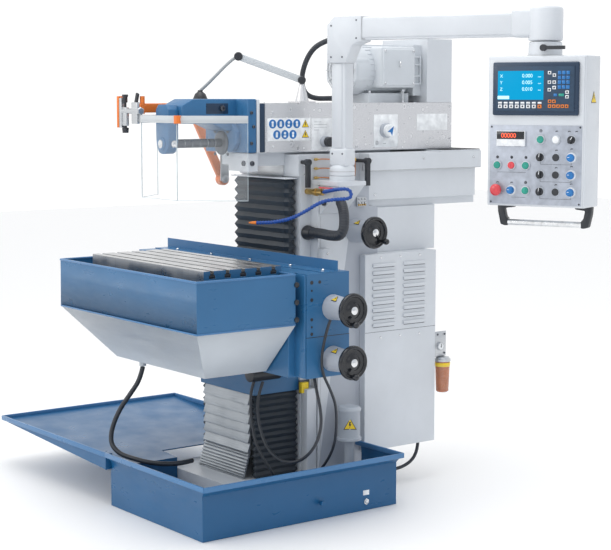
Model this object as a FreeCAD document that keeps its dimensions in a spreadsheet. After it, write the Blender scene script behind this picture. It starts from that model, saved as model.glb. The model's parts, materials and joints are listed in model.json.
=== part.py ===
import FreeCAD, Part
import math
import os
import re
import Sketcher

# Universal tool-room milling machine.  +X is the operator's right, +Y runs from the
# front to the back, +Z is up.  The origin is on the floor, under the middle of the
# column's vertical guideway.  All sizes are in millimetres.

DIMENSIONS = {
    # Column and base casting
    "base_half": 260, "base_front": -330, "base_back": 340, "base_top": 100,
    "way_half": 185, "column_half": 230, "shoulder": 50, "column_back": 332,
    "column_top": 1110, "wall": 26,
    # Bed that carries the ram
    "bed_half": 190, "bed_front": -10, "bed_back": 860, "bed_top": 1286,
    "channel_half": 102, "channel_floor": 1245.5, "channel_back": 655,
    "cover_front": 290, "cover_step": 1221, "cover_half": 230,
    # Rear enclosure
    "cabinet_half": 262, "cabinet_front": 247, "cabinet_back": 600,
    "cabinet_bottom": 158, "cabinet_top": 909, "housing_half": 200, "sheet": 3,
    # Chip tray
    "tray_rim": 200, "tray_bend": 158, "tray_floor": 30, "tray_front": -616,
    "tray_back": 237, "tray_left": -153, "tray_right": 462, "tray_flare": 23, "wing_tip": -999,
    "wing_root": 138, "wing_end": 184, "wing_back": 192, "tray_sheet": 4,
    # Knee and cross slide
    "knee_half": 554, "knee_front": -246, "knee_back": -60, "knee_bottom": 533,
    "knee_seam": 676, "knee_top": 896, "neck_half": 177, "neck_front": -204,
    "neck_bottom": 413, "guard_top": 935, "guard_wall": -113, "guard_lip": -172,
    # Table
    "table_middle": 80, "table_length": 750, "table_front": -600, "table_back": -280.3,
    "table_top": 920, "table_thick": 75, "plate_length": 830, "plate_back": -246.3,
    "plate_bottom": 533, "plate_top": 898, "slot_width": 14, "slot_pitch": 63,
    "slot_depth": 26, "slot_head": 24, "slot_neck": 14,
    # Splash tray and coolant hopper under the table
    "splash_half": 465, "splash_front": -686, "splash_back": -286,
    "splash_rim": 898, "splash_bottom": 723, "hopper_bottom": 540,
    "hopper_left": -225, "hopper_right": 370, "hopper_front": -543,
    # Ram, head and overarm
    "ram_half": 138, "ram_front": -161, "ram_back": 784, "ram_bottom": 1294,
    "ram_top": 1473, "dovetail_half": 101.5, "dovetail_back": 500,
    "flange_front": -200, "flange_top": 1490, "arm_half": 65, "arm_front": -432,
    "arm_bottom": 1400, "support_half": 43, "support_front": -475,
    "support_top": 1470, "spindle_height": 1330, "spindle_radius": 30,
    "nose_radius": 34, "arbor_radius": 11, "running": 0.05,
    # Motor and belt cover
    "motor_front": 343, "motor_back": 655, "motor_height": 1600, "motor_radius": 97,
    "belt_top": 1722,
    # Handwheels
    "wheel_radius": 60, "wheel_reach": 116, "hub_length": 95,
    "wheel_y": -135, "x_wheel_height": 775, "z_wheel_height": 595,
    "y_wheel_y": 222, "y_wheel_height": 1000,
    # Post, boom and control pendant
    "post_x": 291, "post_y": 114, "post_base": 1176, "post_joint": 1211,
    "elbow_bottom": 1618, "elbow_top": 1784, "boom_bottom": 1703, "boom_top": 1781,
    "boom_half": 35, "boom_angle": 22, "boom_reach": 787, "pendant_half": 176,
    "pendant_depth": 125, "pendant_face": 70, "pendant_bottom": 1130,
    "pendant_top": 1634, "neck_radius": 58, "neck_top": 1684, "boom_end_top": 1798,
}

doc = FreeCAD.newDocument("milling_machine")
sheet = doc.addObject("Spreadsheet::Sheet", "Dims")
for row, (alias, size) in enumerate(DIMENSIONS.items(), 1):
    sheet.set("A%d" % row, alias)
    sheet.set("B%d" % row, str(size))
    sheet.setAlias("B%d" % row, alias)
doc.recompute()

NODES = []


def formula(text):
    """Point the aliases in an expression at the sheet."""
    word = r"[a-z][a-z_]*[a-z]"
    return re.sub(word, lambda m: "Dims." + m[0] if m[0] in DIMENSIONS else m[0], str(text))


def value(text):
    """Work an expression out as a number."""
    return float(doc.Dims.evalExpression(re.sub("Dims[.]", "", formula(text))))


def bind(obj, **sizes):
    for name, text in sizes.items():
        obj.setExpression(name.replace("_at_", ".Base."), formula(text))
    return obj


def place(obj, x, y, z):
    return bind(obj, Placement_at_x=x, Placement_at_y=y, Placement_at_z=z)


# ---- Primitives bound to the sheet ----------------------------------------------

TURN = {"x": FreeCAD.Rotation(FreeCAD.Vector(0, 1, 0), 90),
        "y": FreeCAD.Rotation(FreeCAD.Vector(1, 0, 0), -90),
        "z": FreeCAD.Rotation()}


def block(name, x, y, z):
    """A box between two limits on each axis."""
    box = doc.addObject("Part::Box", name)
    for size, (low, high) in zip(("Length", "Width", "Height"), (x, y, z)):
        bind(box, **{size: "(%s) - (%s)" % (high, low)})
    return place(box, x[0], y[0], z[0])


def rod(name, axis, radius, length, x, y, z):
    """A cylinder that starts at a point and runs along an axis."""
    cylinder = doc.addObject("Part::Cylinder", name)
    cylinder.Placement.Rotation = TURN[axis]
    bind(cylinder, Radius=radius, Height=length)
    return place(cylinder, x, y, z)


def cone(name, axis, radius, end_radius, length, x, y, z):
    taper = doc.addObject("Part::Cone", name)
    taper.Placement.Rotation = TURN[axis]
    bind(taper, Radius1=radius, Radius2=end_radius, Height=length)
    return place(taper, x, y, z)


def ball(name, radius, x, y, z):
    return place(bind(doc.addObject("Part::Sphere", name), Radius=radius), x, y, z)


def ring(name, axis, radius, thick, x, y, z):
    torus = doc.addObject("Part::Torus", name)
    torus.Placement.Rotation = TURN[axis]
    bind(torus, Radius1=radius, Radius2=thick)
    return place(torus, x, y, z)


def frustum(name, x, y, z, far_x, far_y):
    """A solid with a rectangular floor and a rectangular top."""
    wedge = doc.addObject("Part::Wedge", name)
    wedge.Placement.Rotation = FreeCAD.Rotation(FreeCAD.Vector(1, 0, 0), 90)
    bind(wedge, Xmin=x[0], Xmax=x[1], Zmin="-(%s)" % y[1], Zmax="-(%s)" % y[0],
         Ymin=z[0], Ymax=z[1], X2min=far_x[0], X2max=far_x[1],
         Z2min="-(%s)" % far_y[1], Z2max="-(%s)" % far_y[0])
    return wedge


def fuse(name, *shapes):
    union = doc.addObject("Part::MultiFuse", name)
    union.Shapes = list(shapes)
    return union


def cut(name, base, *tools):
    difference = doc.addObject("Part::Cut", name)
    difference.Base = base
    difference.Tool = tools[0] if len(tools) == 1 else fuse(name + "_tool", *tools)
    return difference


def node(label, *solids):
    """Name a sub-part.  Several separate solids are kept side by side."""
    item = solids[0]
    if len(solids) > 1:
        item = doc.addObject("Part::Compound", label)
        item.Links = list(solids)
    item.Label = label
    NODES.append(item)
    return item


# ---- PartDesign bodies -------------------------------------------------------------

def origin_plane(body, role):
    return next(f for f in body.Origin.OriginFeatures if f.Role == role)


def outline(body, name, role, points):
    """A closed sketch whose corners are bound to the sheet."""
    sketch = body.newObject("Sketcher::SketchObject", name)
    sketch.AttachmentSupport = (origin_plane(body, role), [""])
    sketch.MapMode = "FlatFace"
    corners = [FreeCAD.Vector(value(u), value(v), 0) for u, v in points]
    for index, corner in enumerate(corners):
        following = corners[(index + 1) % len(corners)]
        sketch.addGeometry(Part.LineSegment(corner, following), False)
    for index, (u, v) in enumerate(points):
        following = (index + 1) % len(points)
        sketch.addConstraint(Sketcher.Constraint("Coincident", index, 2, following, 1))
        for kind, size in (("DistanceX", u), ("DistanceY", v)):
            key = sketch.addConstraint(
                Sketcher.Constraint(kind, -1, 1, index, 1, value(size)))
            if abs(value(size)) > 0:
                sketch.setExpression("Constraints[%d]" % key, formula(size))
    return sketch


def new_body(name):
    return doc.addObject("PartDesign::Body", name)


def turned(name, points):
    """A body turned about Z from a half outline of (radius, height) points."""
    body = new_body(name)
    sketch = outline(body, name + "_profile", "XZ_Plane", points)
    turning = body.newObject("PartDesign::Revolution", name + "_turning")
    turning.Profile = sketch
    turning.ReferenceAxis = (sketch, ["V_Axis"])
    turning.Angle = 360
    return body


def plate_with_slots(name, y, z, length, slot, pitch, count, axis):
    """A plate padded along X, with a row of T-slots cut right through it."""
    body = new_body(name)
    section = outline(body, name + "_section", "YZ_Plane",
                      [(y[0], z[0]), (y[1], z[0]), (y[1], z[1]), (y[0], z[1])])
    pad = body.newObject("PartDesign::Pad", name + "_pad")
    pad.Profile = section
    pad.Midplane = True
    bind(pad, Length=length)
    pocket = body.newObject("PartDesign::Pocket", name + "_slot")
    pocket.Profile = outline(body, name + "_slot_section", "YZ_Plane", slot)
    pocket.Midplane = True
    bind(pocket, Length="(%s) + 20" % length)
    row = body.newObject("PartDesign::LinearPattern", name + "_slots")
    row.Originals = [pocket]
    row.Direction = (section, [axis])
    row.Occurrences = count
    bind(row, Length="(%s) * %d" % (pitch, count - 1))
    body.Tip = row
    return bind(body, Placement_at_x="table_middle")


# ---- Cords: straight runs joined by tangent arcs ---------------------------------

def cord(label, route, diameter):
    """A round tube along a route, with each bend as wide as its runs allow."""
    points = [FreeCAD.Vector(*p) for p in route]
    edges, start, radii = [], points[0], []
    for before, corner, after in zip(points, points[1:], points[2:]):
        arriving = (corner - before).normalize()
        leaving = (after - corner).normalize()
        turn = arriving.getAngle(leaving)
        reach = 0.45 * min((corner - before).Length, (after - corner).Length)
        radii.append(round(reach / math.tan(turn / 2)))
        entry, way_out = corner - arriving * reach, corner + leaving * reach
        bulge = (leaving - arriving).normalize()
        centre = corner + bulge * (reach / math.sin(turn / 2))
        middle = centre - bulge * (reach / math.tan(turn / 2))
        edges.append(Part.LineSegment(start, entry).toShape())
        edges.append(Part.Arc(entry, middle, way_out).toShape())
        start = way_out
    edges.append(Part.LineSegment(start, points[-1]).toShape())
    path = Part.Wire(edges)
    circle = Part.Circle(points[0], points[1] - points[0], diameter / 2)
    tube = doc.addObject("Part::Feature", label)
    tube.Shape = path.makePipeShell([Part.Wire(circle.toShape())], True, False)
    expected = math.pi * diameter ** 2 / 4 * path.Length
    print(label, "length", round(path.Length), "radii", radii,
          "volume ratio", round(tube.Shape.Volume / expected, 4))
    return node(label, tube)


# ---- Column, base and the bed for the ram -------------------------------------------

def column_casting():
    solid = fuse(
        "column_solid",
        block("base", ("-base_half", "base_half"), ("base_front", "base_back"),
              ("0", "base_top")),
        block("guideway", ("-way_half", "way_half"), ("0", "shoulder + 1"),
              ("base_top - 1", "column_top")),
        block("column", ("-column_half", "column_half"), ("shoulder", "column_back"),
              ("base_top - 1", "column_top - 22")),
        block("column_head", ("-column_half", "column_half"), ("shoulder", "cover_front - 0.3"),
              ("column_top - 30", "column_top + 65")),
        block("bed", ("-bed_half", "bed_half"), ("0", "bed_back"),
              ("column_top - 30", "bed_top")),
        block("bed_nose", ("-bed_half", "bed_half"), ("bed_front", "1"),
              ("column_top + 97", "bed_top")),
        cone("y_wheel_hub", "x", "45", "37", "hub_length", "column_half - 1",
             "y_wheel_y", "y_wheel_height"))
    hollow = block("column_hollow", ("wall - column_half", "column_half - wall"),
                   ("shoulder + wall", "column_back + 1"),
                   ("base_top + wall", "column_top - 30 - wall"))
    channel = block("ram_channel", ("-channel_half", "channel_half"),
                    ("bed_front - 1", "channel_back"), ("channel_floor", "bed_top + 1"))
    bed_hollow = block("bed_hollow", ("-150", "150"), ("column_back + 30", "bed_back - 30"),
                       ("column_top - 31", "channel_floor - 60"))
    recesses = [block("bed_recess", side, ("44", "cover_front"),
                      ("column_top + 65", "bed_top + 1"))
                for side in (("bed_half - 20", "bed_half + 1"),
                             ("-bed_half - 1", "20 - bed_half"))]
    bore = rod("y_wheel_bore", "x", "10 + running", "hub_length + 40", "column_half - 30",
               "y_wheel_y", "y_wheel_height")
    bracket = [
        frustum("post_gusset", ("column_half + 0.3", "column_half + 8"), ("56", "172"),
                ("post_base - 106", "post_base"), ("column_half + 0.3", "column_half + 118"),
                ("56", "172")),
        block("post_plate", ("bed_half - 19.7", "column_half + 120"), ("50", "178"),
              ("post_base", "post_base + 16")),
        rod("post_flange", "z", "47", "post_joint - post_base - 16.3", "post_x", "post_y",
            "post_base + 16")]
    node("column_casting",
         cut("column_cut", solid, hollow, channel, bed_hollow, bore, *recesses),
         fuse("post_bracket", *bracket))


def chip_tray():
    def basin(name, inset, floor, top):
        across = ("tray_left + %s" % inset, "tray_right - %s" % inset)
        along = ("tray_front + %s" % inset, "tray_back - %s" % inset)
        lip = frustum(name + "_lip", across, along, ("tray_bend", top),
                      ("tray_left + %s" % inset, "tray_right + 2 * tray_flare - %s" % inset),
                      ("tray_front - tray_flare + %s" % inset, "tray_back - 4 - %s" % inset))
        return fuse(name, block(name + "_walls", across, along, (floor, "tray_bend")), lip)

    def wing(name, inset, rise):
        wedge = doc.addObject("Part::Wedge", name)
        wedge.Placement.Rotation = FreeCAD.Rotation(FreeCAD.Vector(0, 0, 1), 90)
        front = "tray_front - tray_flare + %s" % inset
        back = "wing_back - %s" % inset
        return bind(wedge, Xmin=front, Xmax=back, X2min=front, X2max=back,
                    Ymin="-tray_left - %s" % ("0" if inset == "0" else "6"),
                    Ymax="-wing_tip - %s" % inset,
                    Zmin="wing_root + %s" % inset, Z2min="wing_end + %s" % inset,
                    Zmax="tray_rim + %s" % rise, Z2max="tray_rim + %s" % rise)

    outer = fuse("tray_outer", basin("tray_basin", "0", "0", "tray_rim"),
                 wing("tray_wing", "0", "0"))
    tray = cut("tray_cut", outer, basin("tray_inside", "tray_sheet", "tray_floor", "tray_rim + 1"),
               wing("wing_inside", "tray_sheet", "1"),
               block("tray_underside", ("tray_left + tray_sheet", "tray_right - tray_sheet"),
                     ("tray_front + tray_sheet", "tray_back - tray_sheet"),
                     ("-1", "tray_floor - tray_sheet")),
               block("base_opening", ("-base_half - 1", "base_half + 1"),
                     ("base_front - 1", "base_back"), ("-1", "tray_rim + 2")))
    plug = rod("drain_plug", "x", "9", "14", "tray_right + 10", "-120", "62")
    node("chip_tray", tray, plug)


def rear_enclosure():
    def shell(name, half, y, z):
        outer = block(name, ("-" + half, half), y, z)
        inner = block(name + "_inside", ("sheet - " + half, half + " - sheet"),
                      (y[0] + " + sheet", y[1] + " - sheet"),
                      (z[0] + " + sheet", z[1] + " - sheet"))
        return cut(name + "_shell", outer, inner)

    cabinet = shell("cabinet", "cabinet_half", ("cabinet_front", "cabinet_back"),
                    ("cabinet_bottom", "cabinet_top"))
    around_column = block("column_clearance", ("-column_half", "column_half"),
                          ("cabinet_front - 1", "column_back"),
                          ("cabinet_bottom - 1", "cabinet_top + 1"))
    housing = shell("housing", "housing_half", ("column_back", "bed_back - 215"),
                    ("cabinet_top", "column_top - 30"))
    covers = []
    for side, name in ((1, "right"), (-1, "left")):
        for part, reach, back, z in (
                ("upper", "cover_half", "bed_back + 2", ("cover_step", "bed_top")),
                ("lower", "(bed_half + 24)", "845", ("column_top", "cover_step"))):
            x = ("bed_half", reach) if side > 0 else ("-%s" % reach, "-bed_half")
            covers.append(block("bed_cover_%s_%s" % (name, part), x,
                                ("cover_front", back), z))
    way_cover = block("way_cover", ("-cover_half + 2", "cover_half - 2"),
                      ("channel_back", "bed_back"), ("bed_top", "bed_top + 5"))
    node("rear_enclosure", cut("cabinet_fitted", cabinet, around_column), housing,
         way_cover, *covers)


def column_fittings():
    node("coolant_pump",
         rod("pump_motor", "z", "40", "116", "305", "139", "229"),
         rod("pump_stem", "z", "18", "199", "305", "139", "tray_floor"))
    node("lubricator",
         fuse("oil_bracket",
              block("oil_flange", ("205", "262"), ("cabinet_back", "cabinet_back + 4"),
                    ("490", "587")),
              block("oil_plate", ("258", "262"), ("cabinet_back + 3", "cabinet_back + 56"),
                    ("490", "587"))),
         block("oil_pump", ("222", "258"), ("cabinet_back + 4", "cabinet_back + 56"),
               ("486", "545")),
         block("oil_reservoir", ("228", "288"), ("cabinet_back + 12", "cabinet_back + 72"),
               ("346", "486")),
         rod("oil_gauge", "x", "15", "12", "262", "cabinet_back + 22", "529"))
    node("coolant_valve",
         rod("valve_body", "x", "11", "96.7", "bed_half + 0.3", "28", "1152"),
         rod("valve_stem", "z", "5", "4", "275", "28", "1163"),
         rod("valve_collar", "x", "14", "14", "240", "28", "1152"))
    lever = fuse("lever_solid", rod("lever_eye", "z", "9", "5", "275", "28", "1167.3"),
                 block("lever_arm", ("275", "338"), ("21", "35"), ("1167.3", "1172.3")))
    node("valve_lever", lever)
    screw = rod("screw_shaft", "z", "12", "1095", "0", "-30", "base_top")
    node("z_ballscrew", screw)


def bellows():
    def box_tube(name, x, y, z, skin):
        outer = block(name, x, y, z)
        inner = block(name + "_inside", ("%s + %s" % (x[0], skin), "%s - %s" % (x[1], skin)),
                      ("%s + %s" % (y[0], skin), "%s - %s" % (y[1], skin)),
                      (z[0] + " - 1", z[1] + " + 1"))
        return cut(name + "_tube", outer, inner)

    pleats = box_tube("upper_pleats", ("4 - neck_half", "neck_half - 3"), ("-55", "-1"),
                      ("knee_top + 3", "1198"), "8")
    cap = cut("bellows_cap", block("cap_plate", ("-neck_half", "neck_half"), ("-60", "-1"),
                                   ("1198", "1202")),
              rod("cap_hole", "z", "13", "20", "0", "-30", "1190"))
    node("upper_bellows", pleats, cap)
    apron = block("apron", ("-146", "146"), ("neck_front - 2", "neck_front + 3"),
                  ("base_top + 1", "neck_bottom - 1"))
    sides = [block("side_pleats_" + name, x, ("neck_front + 3.5", "-1"),
                   ("base_top + 1", "neck_bottom - 1"))
             for name, x in (("right", ("neck_half - 14", "neck_half")),
                             ("left", ("-neck_half", "14 - neck_half")))]
    node("lower_way_cover", apron, *sides)


# ---- Knee and table -------------------------------------------------------------------

def knee():
    lower = fuse(
        "knee_solid",
        block("knee_lower", ("-knee_half", "knee_half"), ("knee_front", "knee_back"),
              ("knee_bottom", "knee_seam")),
        block("knee_carriage", ("1 - neck_half", "neck_half - 1"), ("knee_back - 1", "-0.3"),
              ("neck_bottom", "knee_top")),
        block("knee_neck", ("-neck_half", "neck_half"), ("neck_front", "knee_back"),
              ("neck_bottom", "knee_bottom + 1")))
    lower_hollow = block("knee_hollow", ("wall - knee_half", "knee_half - wall"),
                         ("knee_front + wall", "knee_back - wall"),
                         ("knee_bottom + wall", "knee_seam + 1"))
    screw_hole = rod("screw_hole", "z", "13", "600", "0", "-30", "400")
    z_bore = rod("z_wheel_bore", "x", "10 + running", "60", "knee_half - 40", "wheel_y",
                 "z_wheel_height")
    motor = rod("feed_motor", "y", "28", "130", "208", "-246", "501")
    node("knee_casting", cut("knee_cut", lower, lower_hollow, screw_hole, z_bore), motor)

    upper = block("cross_block", ("-knee_half", "knee_half"), ("knee_front", "knee_back - 1"),
                  ("knee_seam", "knee_top"))
    upper_hollow = block("cross_hollow", ("wall - knee_half", "knee_half - wall"),
                         ("knee_front + wall", "knee_back - wall"),
                         ("knee_seam - 1", "knee_top - wall"))
    x_bore = rod("x_wheel_bore", "x", "10 + running", "60", "knee_half - 40", "wheel_y",
                 "x_wheel_height")
    wall = block("guard_wall_sheet", ("-knee_half", "knee_half"), ("guard_wall", "guard_wall + 3"),
                 ("knee_top + 3", "guard_top"))
    shelf = block("guard_shelf", ("-knee_half", "knee_half"), ("guard_lip", "guard_wall + 3"),
                  ("knee_top", "knee_top + 3"))
    node("cross_slide_housing", cut("cross_cut", upper, upper_hollow, x_bore),
         fuse("rear_guard", wall, shelf))
    hubs = []
    for axis in ("x", "z"):
        height = axis + "_wheel_height"
        hub = cone(axis + "_hub_cone", "x", "45", "37", "hub_length", "knee_half", "wheel_y",
                   height)
        hole = rod(axis + "_hub_hole", "x", "10 + running", "hub_length + 2", "knee_half - 1",
                   "wheel_y", height)
        hubs.append(cut(axis + "_hub", hub, hole))
    node("wheel_hubs", *hubs)


def table():
    def t_slot(centre, face, across, turn):
        """Corners of a T-slot; turn swaps the axes for slots in a vertical face."""
        half, head = "slot_width / 2", "slot_head / 2"
        corners = [("-" + half, "2"), ("-" + half, "-slot_neck"), ("-" + head, "-slot_neck"),
                   ("-" + head, "-slot_depth" + across), (head, "-slot_depth" + across),
                   (head, "-slot_neck"), (half, "-slot_neck"), (half, "2")]
        if turn:
            return [("%s - (%s)" % (face, down), "%s + %s" % (centre, side))
                    for side, down in corners]
        return [("%s + %s" % (centre, side), "%s + (%s)" % (face, down))
                for side, down in corners]

    top = plate_with_slots(
        "table_slab", ("table_front", "table_back"), ("table_top - table_thick", "table_top"),
        "table_length",
        t_slot("(table_front + table_back) / 2 - 2 * slot_pitch", "table_top", "", False),
        "slot_pitch", 5, "H_Axis")
    x = ("table_middle - table_length / 2", "table_middle + table_length / 2")
    flange = block("table_flange", x, ("table_back - 20", "table_back"),
                   ("splash_bottom + 2", "table_top - table_thick + 1"))
    ribs = [block("table_rib", ("table_middle + %d" % at, "table_middle + %d" % (at + 20)),
                  ("table_front + 50", "table_back - 19"), ("780", "table_top - table_thick + 1"))
            for at in (-290, -10, 270)]
    node("angle_table", fuse("table_solid", top, flange, *ribs))
    node("slide_plate", plate_with_slots(
        "plate", ("table_back + 0.3", "plate_back"), ("plate_bottom", "plate_top"),
        "plate_length", t_slot("plate_top - 164", "(table_back + 0.3)", " + 4", True),
        "slot_pitch - 1", 3, "V_Axis"))


def splash_tray():
    left, right = "table_middle - splash_half", "table_middle + splash_half"

    def walls(name, inset, z):
        return block(name, (left + " + " + inset, right + " - " + inset),
                     ("splash_front + " + inset, "splash_back - " + inset), z)

    def funnel(name, inset, lift, top):
        return frustum(name, ("hopper_left + " + inset, "hopper_right - " + inset),
                       ("hopper_front + " + inset, "splash_back - " + inset),
                       ("hopper_bottom + " + lift, top),
                       (left + " + " + inset, right + " - " + inset),
                       ("splash_front + " + inset, "splash_back - " + inset))

    rim = cut("splash_cut", walls("splash_walls", "0", ("splash_bottom", "splash_rim")),
              walls("splash_inside", "sheet", ("splash_bottom - 1", "splash_rim + 1")),
              block("flange_gap", ("table_middle - table_length / 2 - 2",
                                   "table_middle + table_length / 2 + 2"),
                    ("table_back - 22", "splash_back + 1"), ("splash_bottom - 1", "splash_rim + 1")))
    cup = cut("hopper_cut", funnel("hopper", "0", "0", "splash_bottom"),
              funnel("hopper_inside", "sheet", "sheet", "splash_bottom + 1"))
    spout = rod("hopper_spout", "z", "13", "42", "-195", "-450", "hopper_bottom - 42")
    node("splash_tray", rim, cup, spout)


# ---- Ram, spindle and overarm -----------------------------------------------------------

def ram():
    solid = fuse(
        "ram_solid",
        block("ram_box", ("-ram_half", "ram_half"), ("ram_front", "ram_back"),
              ("ram_bottom", "ram_top")),
        block("ram_dovetail", ("-dovetail_half", "dovetail_half"),
              ("ram_front + 11", "dovetail_back"), ("channel_floor + 0.5", "ram_bottom + 1")),
        block("ram_foot", ("0", "ram_half - 8"), ("ram_front - 29", "ram_front + 11"),
              ("1228", "ram_bottom - 0.5")))
    hollow = block("ram_hollow", ("20 - ram_half", "ram_half - 20"),
                   ("ram_front + 60", "ram_back - 20"), ("ram_bottom + 3", "ram_top + 1"))
    bore = rod("spindle_bore", "y", "spindle_radius + running", "80", "0", "ram_front - 5",
               "spindle_height")
    node("ram_body", cut("ram_cut", solid, hollow, bore))
    side_covers = [block("side_cover_" + name, x, ("ram_front + 38", "ram_back"),
                         ("ram_bottom + 2", "ram_top + 2"))
                   for name, x in (("right", ("ram_half", "ram_half + 2")),
                                   ("left", ("-ram_half - 2", "-ram_half")))]
    lid = cut("lid_cut", block("lid", ("-ram_half", "ram_half"), ("ram_front", "ram_back"),
                               ("ram_top", "ram_top + 2")),
              block("belt_opening", ("-100", "100"), ("660", "ram_back - 21"),
                    ("ram_top - 1", "ram_top + 3")))
    lamp_foot = frustum("lamp_foot", ("63", "137"), ("35", "109"),
                        ("ram_top + 2", "ram_top + 8"), ("63", "137"), ("35", "109"))
    lamp_stand = cone("lamp_stand", "z", "26", "10", "62", "100", "72", "ram_top + 8")
    node("ram_covers", lid, lamp_foot, lamp_stand, *side_covers)


def overarm():
    solid = fuse(
        "overarm_solid",
        block("head_flange", ("-ram_half - 2", "ram_half + 2"), ("flange_front", "ram_front"),
              ("ram_bottom + 1", "flange_top")),
        block("arm", ("-arm_half", "arm_half"), ("arm_front", "flange_front + 1"),
              ("arm_bottom", "flange_top")),
        frustum("gusset", ("-50", "50"), ("flange_front - 45", "flange_front + 1"),
                ("1372", "arm_bottom + 1"), ("-50", "50"),
                ("flange_front - 90", "flange_front + 1")),
        block("guide_bar", ("-28", "28"), ("support_front + 5", "arm_front + 1"),
              ("1405", "1455")))
    bore = rod("flange_bore", "y", "spindle_radius + running", "60", "0", "flange_front - 10",
               "spindle_height")
    node("overarm", cut("overarm_cut", solid, bore))

    support = cut("support_cut",
                  block("support_block", ("-support_half", "support_half"),
                        ("support_front", "arm_front - 0.3"),
                        ("ram_bottom", "support_top")),
                  block("bar_pocket", ("-28.3", "28.3"), ("support_front - 1", "arm_front"),
                        ("1404.7", "1455.3")),
                  rod("arbor_bore", "y", "arbor_radius + running", "50", "0",
                      "support_front + 1", "spindle_height"))
    end_cap = rod("end_cap", "y", "14", "10", "0", "support_front - 10", "spindle_height")
    node("arbor_support", support, end_cap)


def spindle():
    shaft = fuse("spindle_shaft",
                 rod("shaft", "y", "spindle_radius", "260", "0", "flange_front", "spindle_height"),
                 rod("nose", "y", "nose_radius", "22", "0", "flange_front - 22.3",
                     "spindle_height"))
    arbor = rod("arbor", "y", "arbor_radius", "251", "0", "flange_front - 273.3",
                "spindle_height")
    collars = []
    for index in range(6):
        start = "flange_front - 22.3 - %d" % (33 * (index + 1))
        sleeve = rod("collar_%d" % index, "y", "15.5", "32.5", "0", start, "spindle_height")
        hole = rod("collar_hole_%d" % index, "y", "arbor_radius", "40", "0", start + " - 2",
                   "spindle_height")
        collars.append(cut("arbor_collar_%d" % index, sleeve, hole))
    node("spindle", shaft, arbor, *collars)


def motor():
    frame = fuse("motor_frame",
                 rod("motor_barrel", "y", "motor_radius", "motor_back - motor_front", "0",
                     "motor_front", "motor_height"),
                 block("motor_flange", ("-100", "100"), ("614", "motor_back"),
                       ("motor_height - 98", "motor_height + 98")),
                 block("terminal_box", ("60", "130"), ("430", "596"),
                       ("motor_height - 62", "motor_height + 82")))
    feet = block("motor_plate", ("-90", "90"), ("400", "600"),
                 ("ram_top + 2", "motor_height - motor_radius + 8"))
    pulleys = [rod("pulley_" + name, "y", radius, "30", "0", "700", height)
               for name, radius, height in (("upper", "45", "motor_height"),
                                            ("lower", "60", "1397"))]
    shaft = rod("motor_shaft", "y", "14", "45", "0", "motor_back", "motor_height")
    loop = fuse("belt_solid", rod("belt_top", "y", "50", "24", "0", "703", "motor_height"),
                rod("belt_foot", "y", "65", "24", "0", "703", "1397"),
                block("belt_runs", ("-54", "54"), ("703", "727"), ("1397", "motor_height")))
    gap = fuse("belt_gap", rod("gap_top", "y", "45", "40", "0", "695", "motor_height"),
               rod("gap_foot", "y", "60", "40", "0", "695", "1397"),
               block("gap_runs", ("-48", "48"), ("695", "735"), ("1397", "motor_height")))
    node("motor", fuse("motor_solid", frame, feet), cut("belt", loop, gap),
         fuse("upper_pulley", pulleys[0], shaft), pulleys[1])
    cover = cut("cover_cut",
                block("cover_box", ("-ram_half", "ram_half"), ("motor_back", "ram_back"),
                      ("ram_top + 2", "belt_top")),
                block("cover_inside", ("sheet - ram_half", "ram_half - sheet"),
                      ("motor_back + sheet", "ram_back - sheet"),
                      ("ram_top + 1", "belt_top - sheet")),
                rod("shaft_opening", "y", "16", "20", "0", "motor_back - 2", "motor_height"))
    node("belt_cover", cover)


# ---- Handwheels, levers and knobs ---------------------------------------------------------

def handwheel(name, face, y, height, grip):
    """A dished wheel on a shaft, with a ball handle at the offset given by grip."""
    plane = "%s + wheel_reach" % face
    grip_y, grip_z = "(%s) + (%s)" % (y, grip[0]), "(%s) + (%s)" % (height, grip[1])
    wheel = fuse(name + "_solid",
                 ring(name + "_rim", "x", "wheel_radius - 7", "7", plane, y, height),
                 rod(name + "_web", "x", "wheel_radius - 8", "6", plane + " - 6", y, height),
                 rod(name + "_boss", "x", "22", "20", plane + " - 14", y, height),
                 rod(name + "_shaft", "x", "10", "wheel_reach + 20", "%s - 24" % face, y, height),
                 rod(name + "_grip_stem", "x", "5", "26", plane + " - 3", grip_y, grip_z))
    cap = rod(name + "_cap", "x", "13", "4", plane + " + 6", y, height)
    grip = ball(name + "_grip", "11", plane + " + 30", grip_y, grip_z)
    node(name, wheel, cap, cut(name + "_ball", grip, rod(
        name + "_socket", "x", "5", "30", plane + " - 7", grip_y, grip_z)))


def clamp_lever(name, x, reach, y, z):
    """An indexed clamp lever that hangs from its stud."""
    head = "%s + %s" % (x, reach)
    node(name, fuse(name + "_solid",
                    rod(name + "_stud", "x", "7", reach + " + 8", x, y, z),
                    rod(name + "_hub", "x", "12", "20", head, y, z),
                    block(name + "_arm", (head + " + 4", head + " + 18"),
                          ("%s - 8" % y, "%s + 8" % y), ("%s - 92" % z, z))))


def levers_and_selectors():
    clamp_lever("clamp_lever_front", "bed_half + 0.4", "26", "5", "1260")
    clamp_lever("clamp_lever_rear", "bed_half - 19.6", "58", "275", "1259")
    for name, y, z, radius in (("gear_selector", "440", "1369", "24"),
                               ("range_selector", "147", "1331", "21")):
        x = "ram_half + 2.3"
        node(name, fuse(name + "_solid", rod(name + "_collar", "x", radius, "22", x, y, z),
                        rod(name + "_knob", "x", radius + " - 2", "18", x + " + 22", y, z)))


# ---- Post, boom and control pendant ---------------------------------------------------------

def along_boom(reach, side):
    """A point beside the boom: reach outward from the post, side towards the back."""
    turn = "boom_angle * 1 deg"
    return ("post_x + (%s) * cos(%s) - (%s) * sin(%s)" % (reach, turn, side, turn),
            "post_y + (%s) * sin(%s) + (%s) * cos(%s)" % (reach, turn, side, turn))


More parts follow.
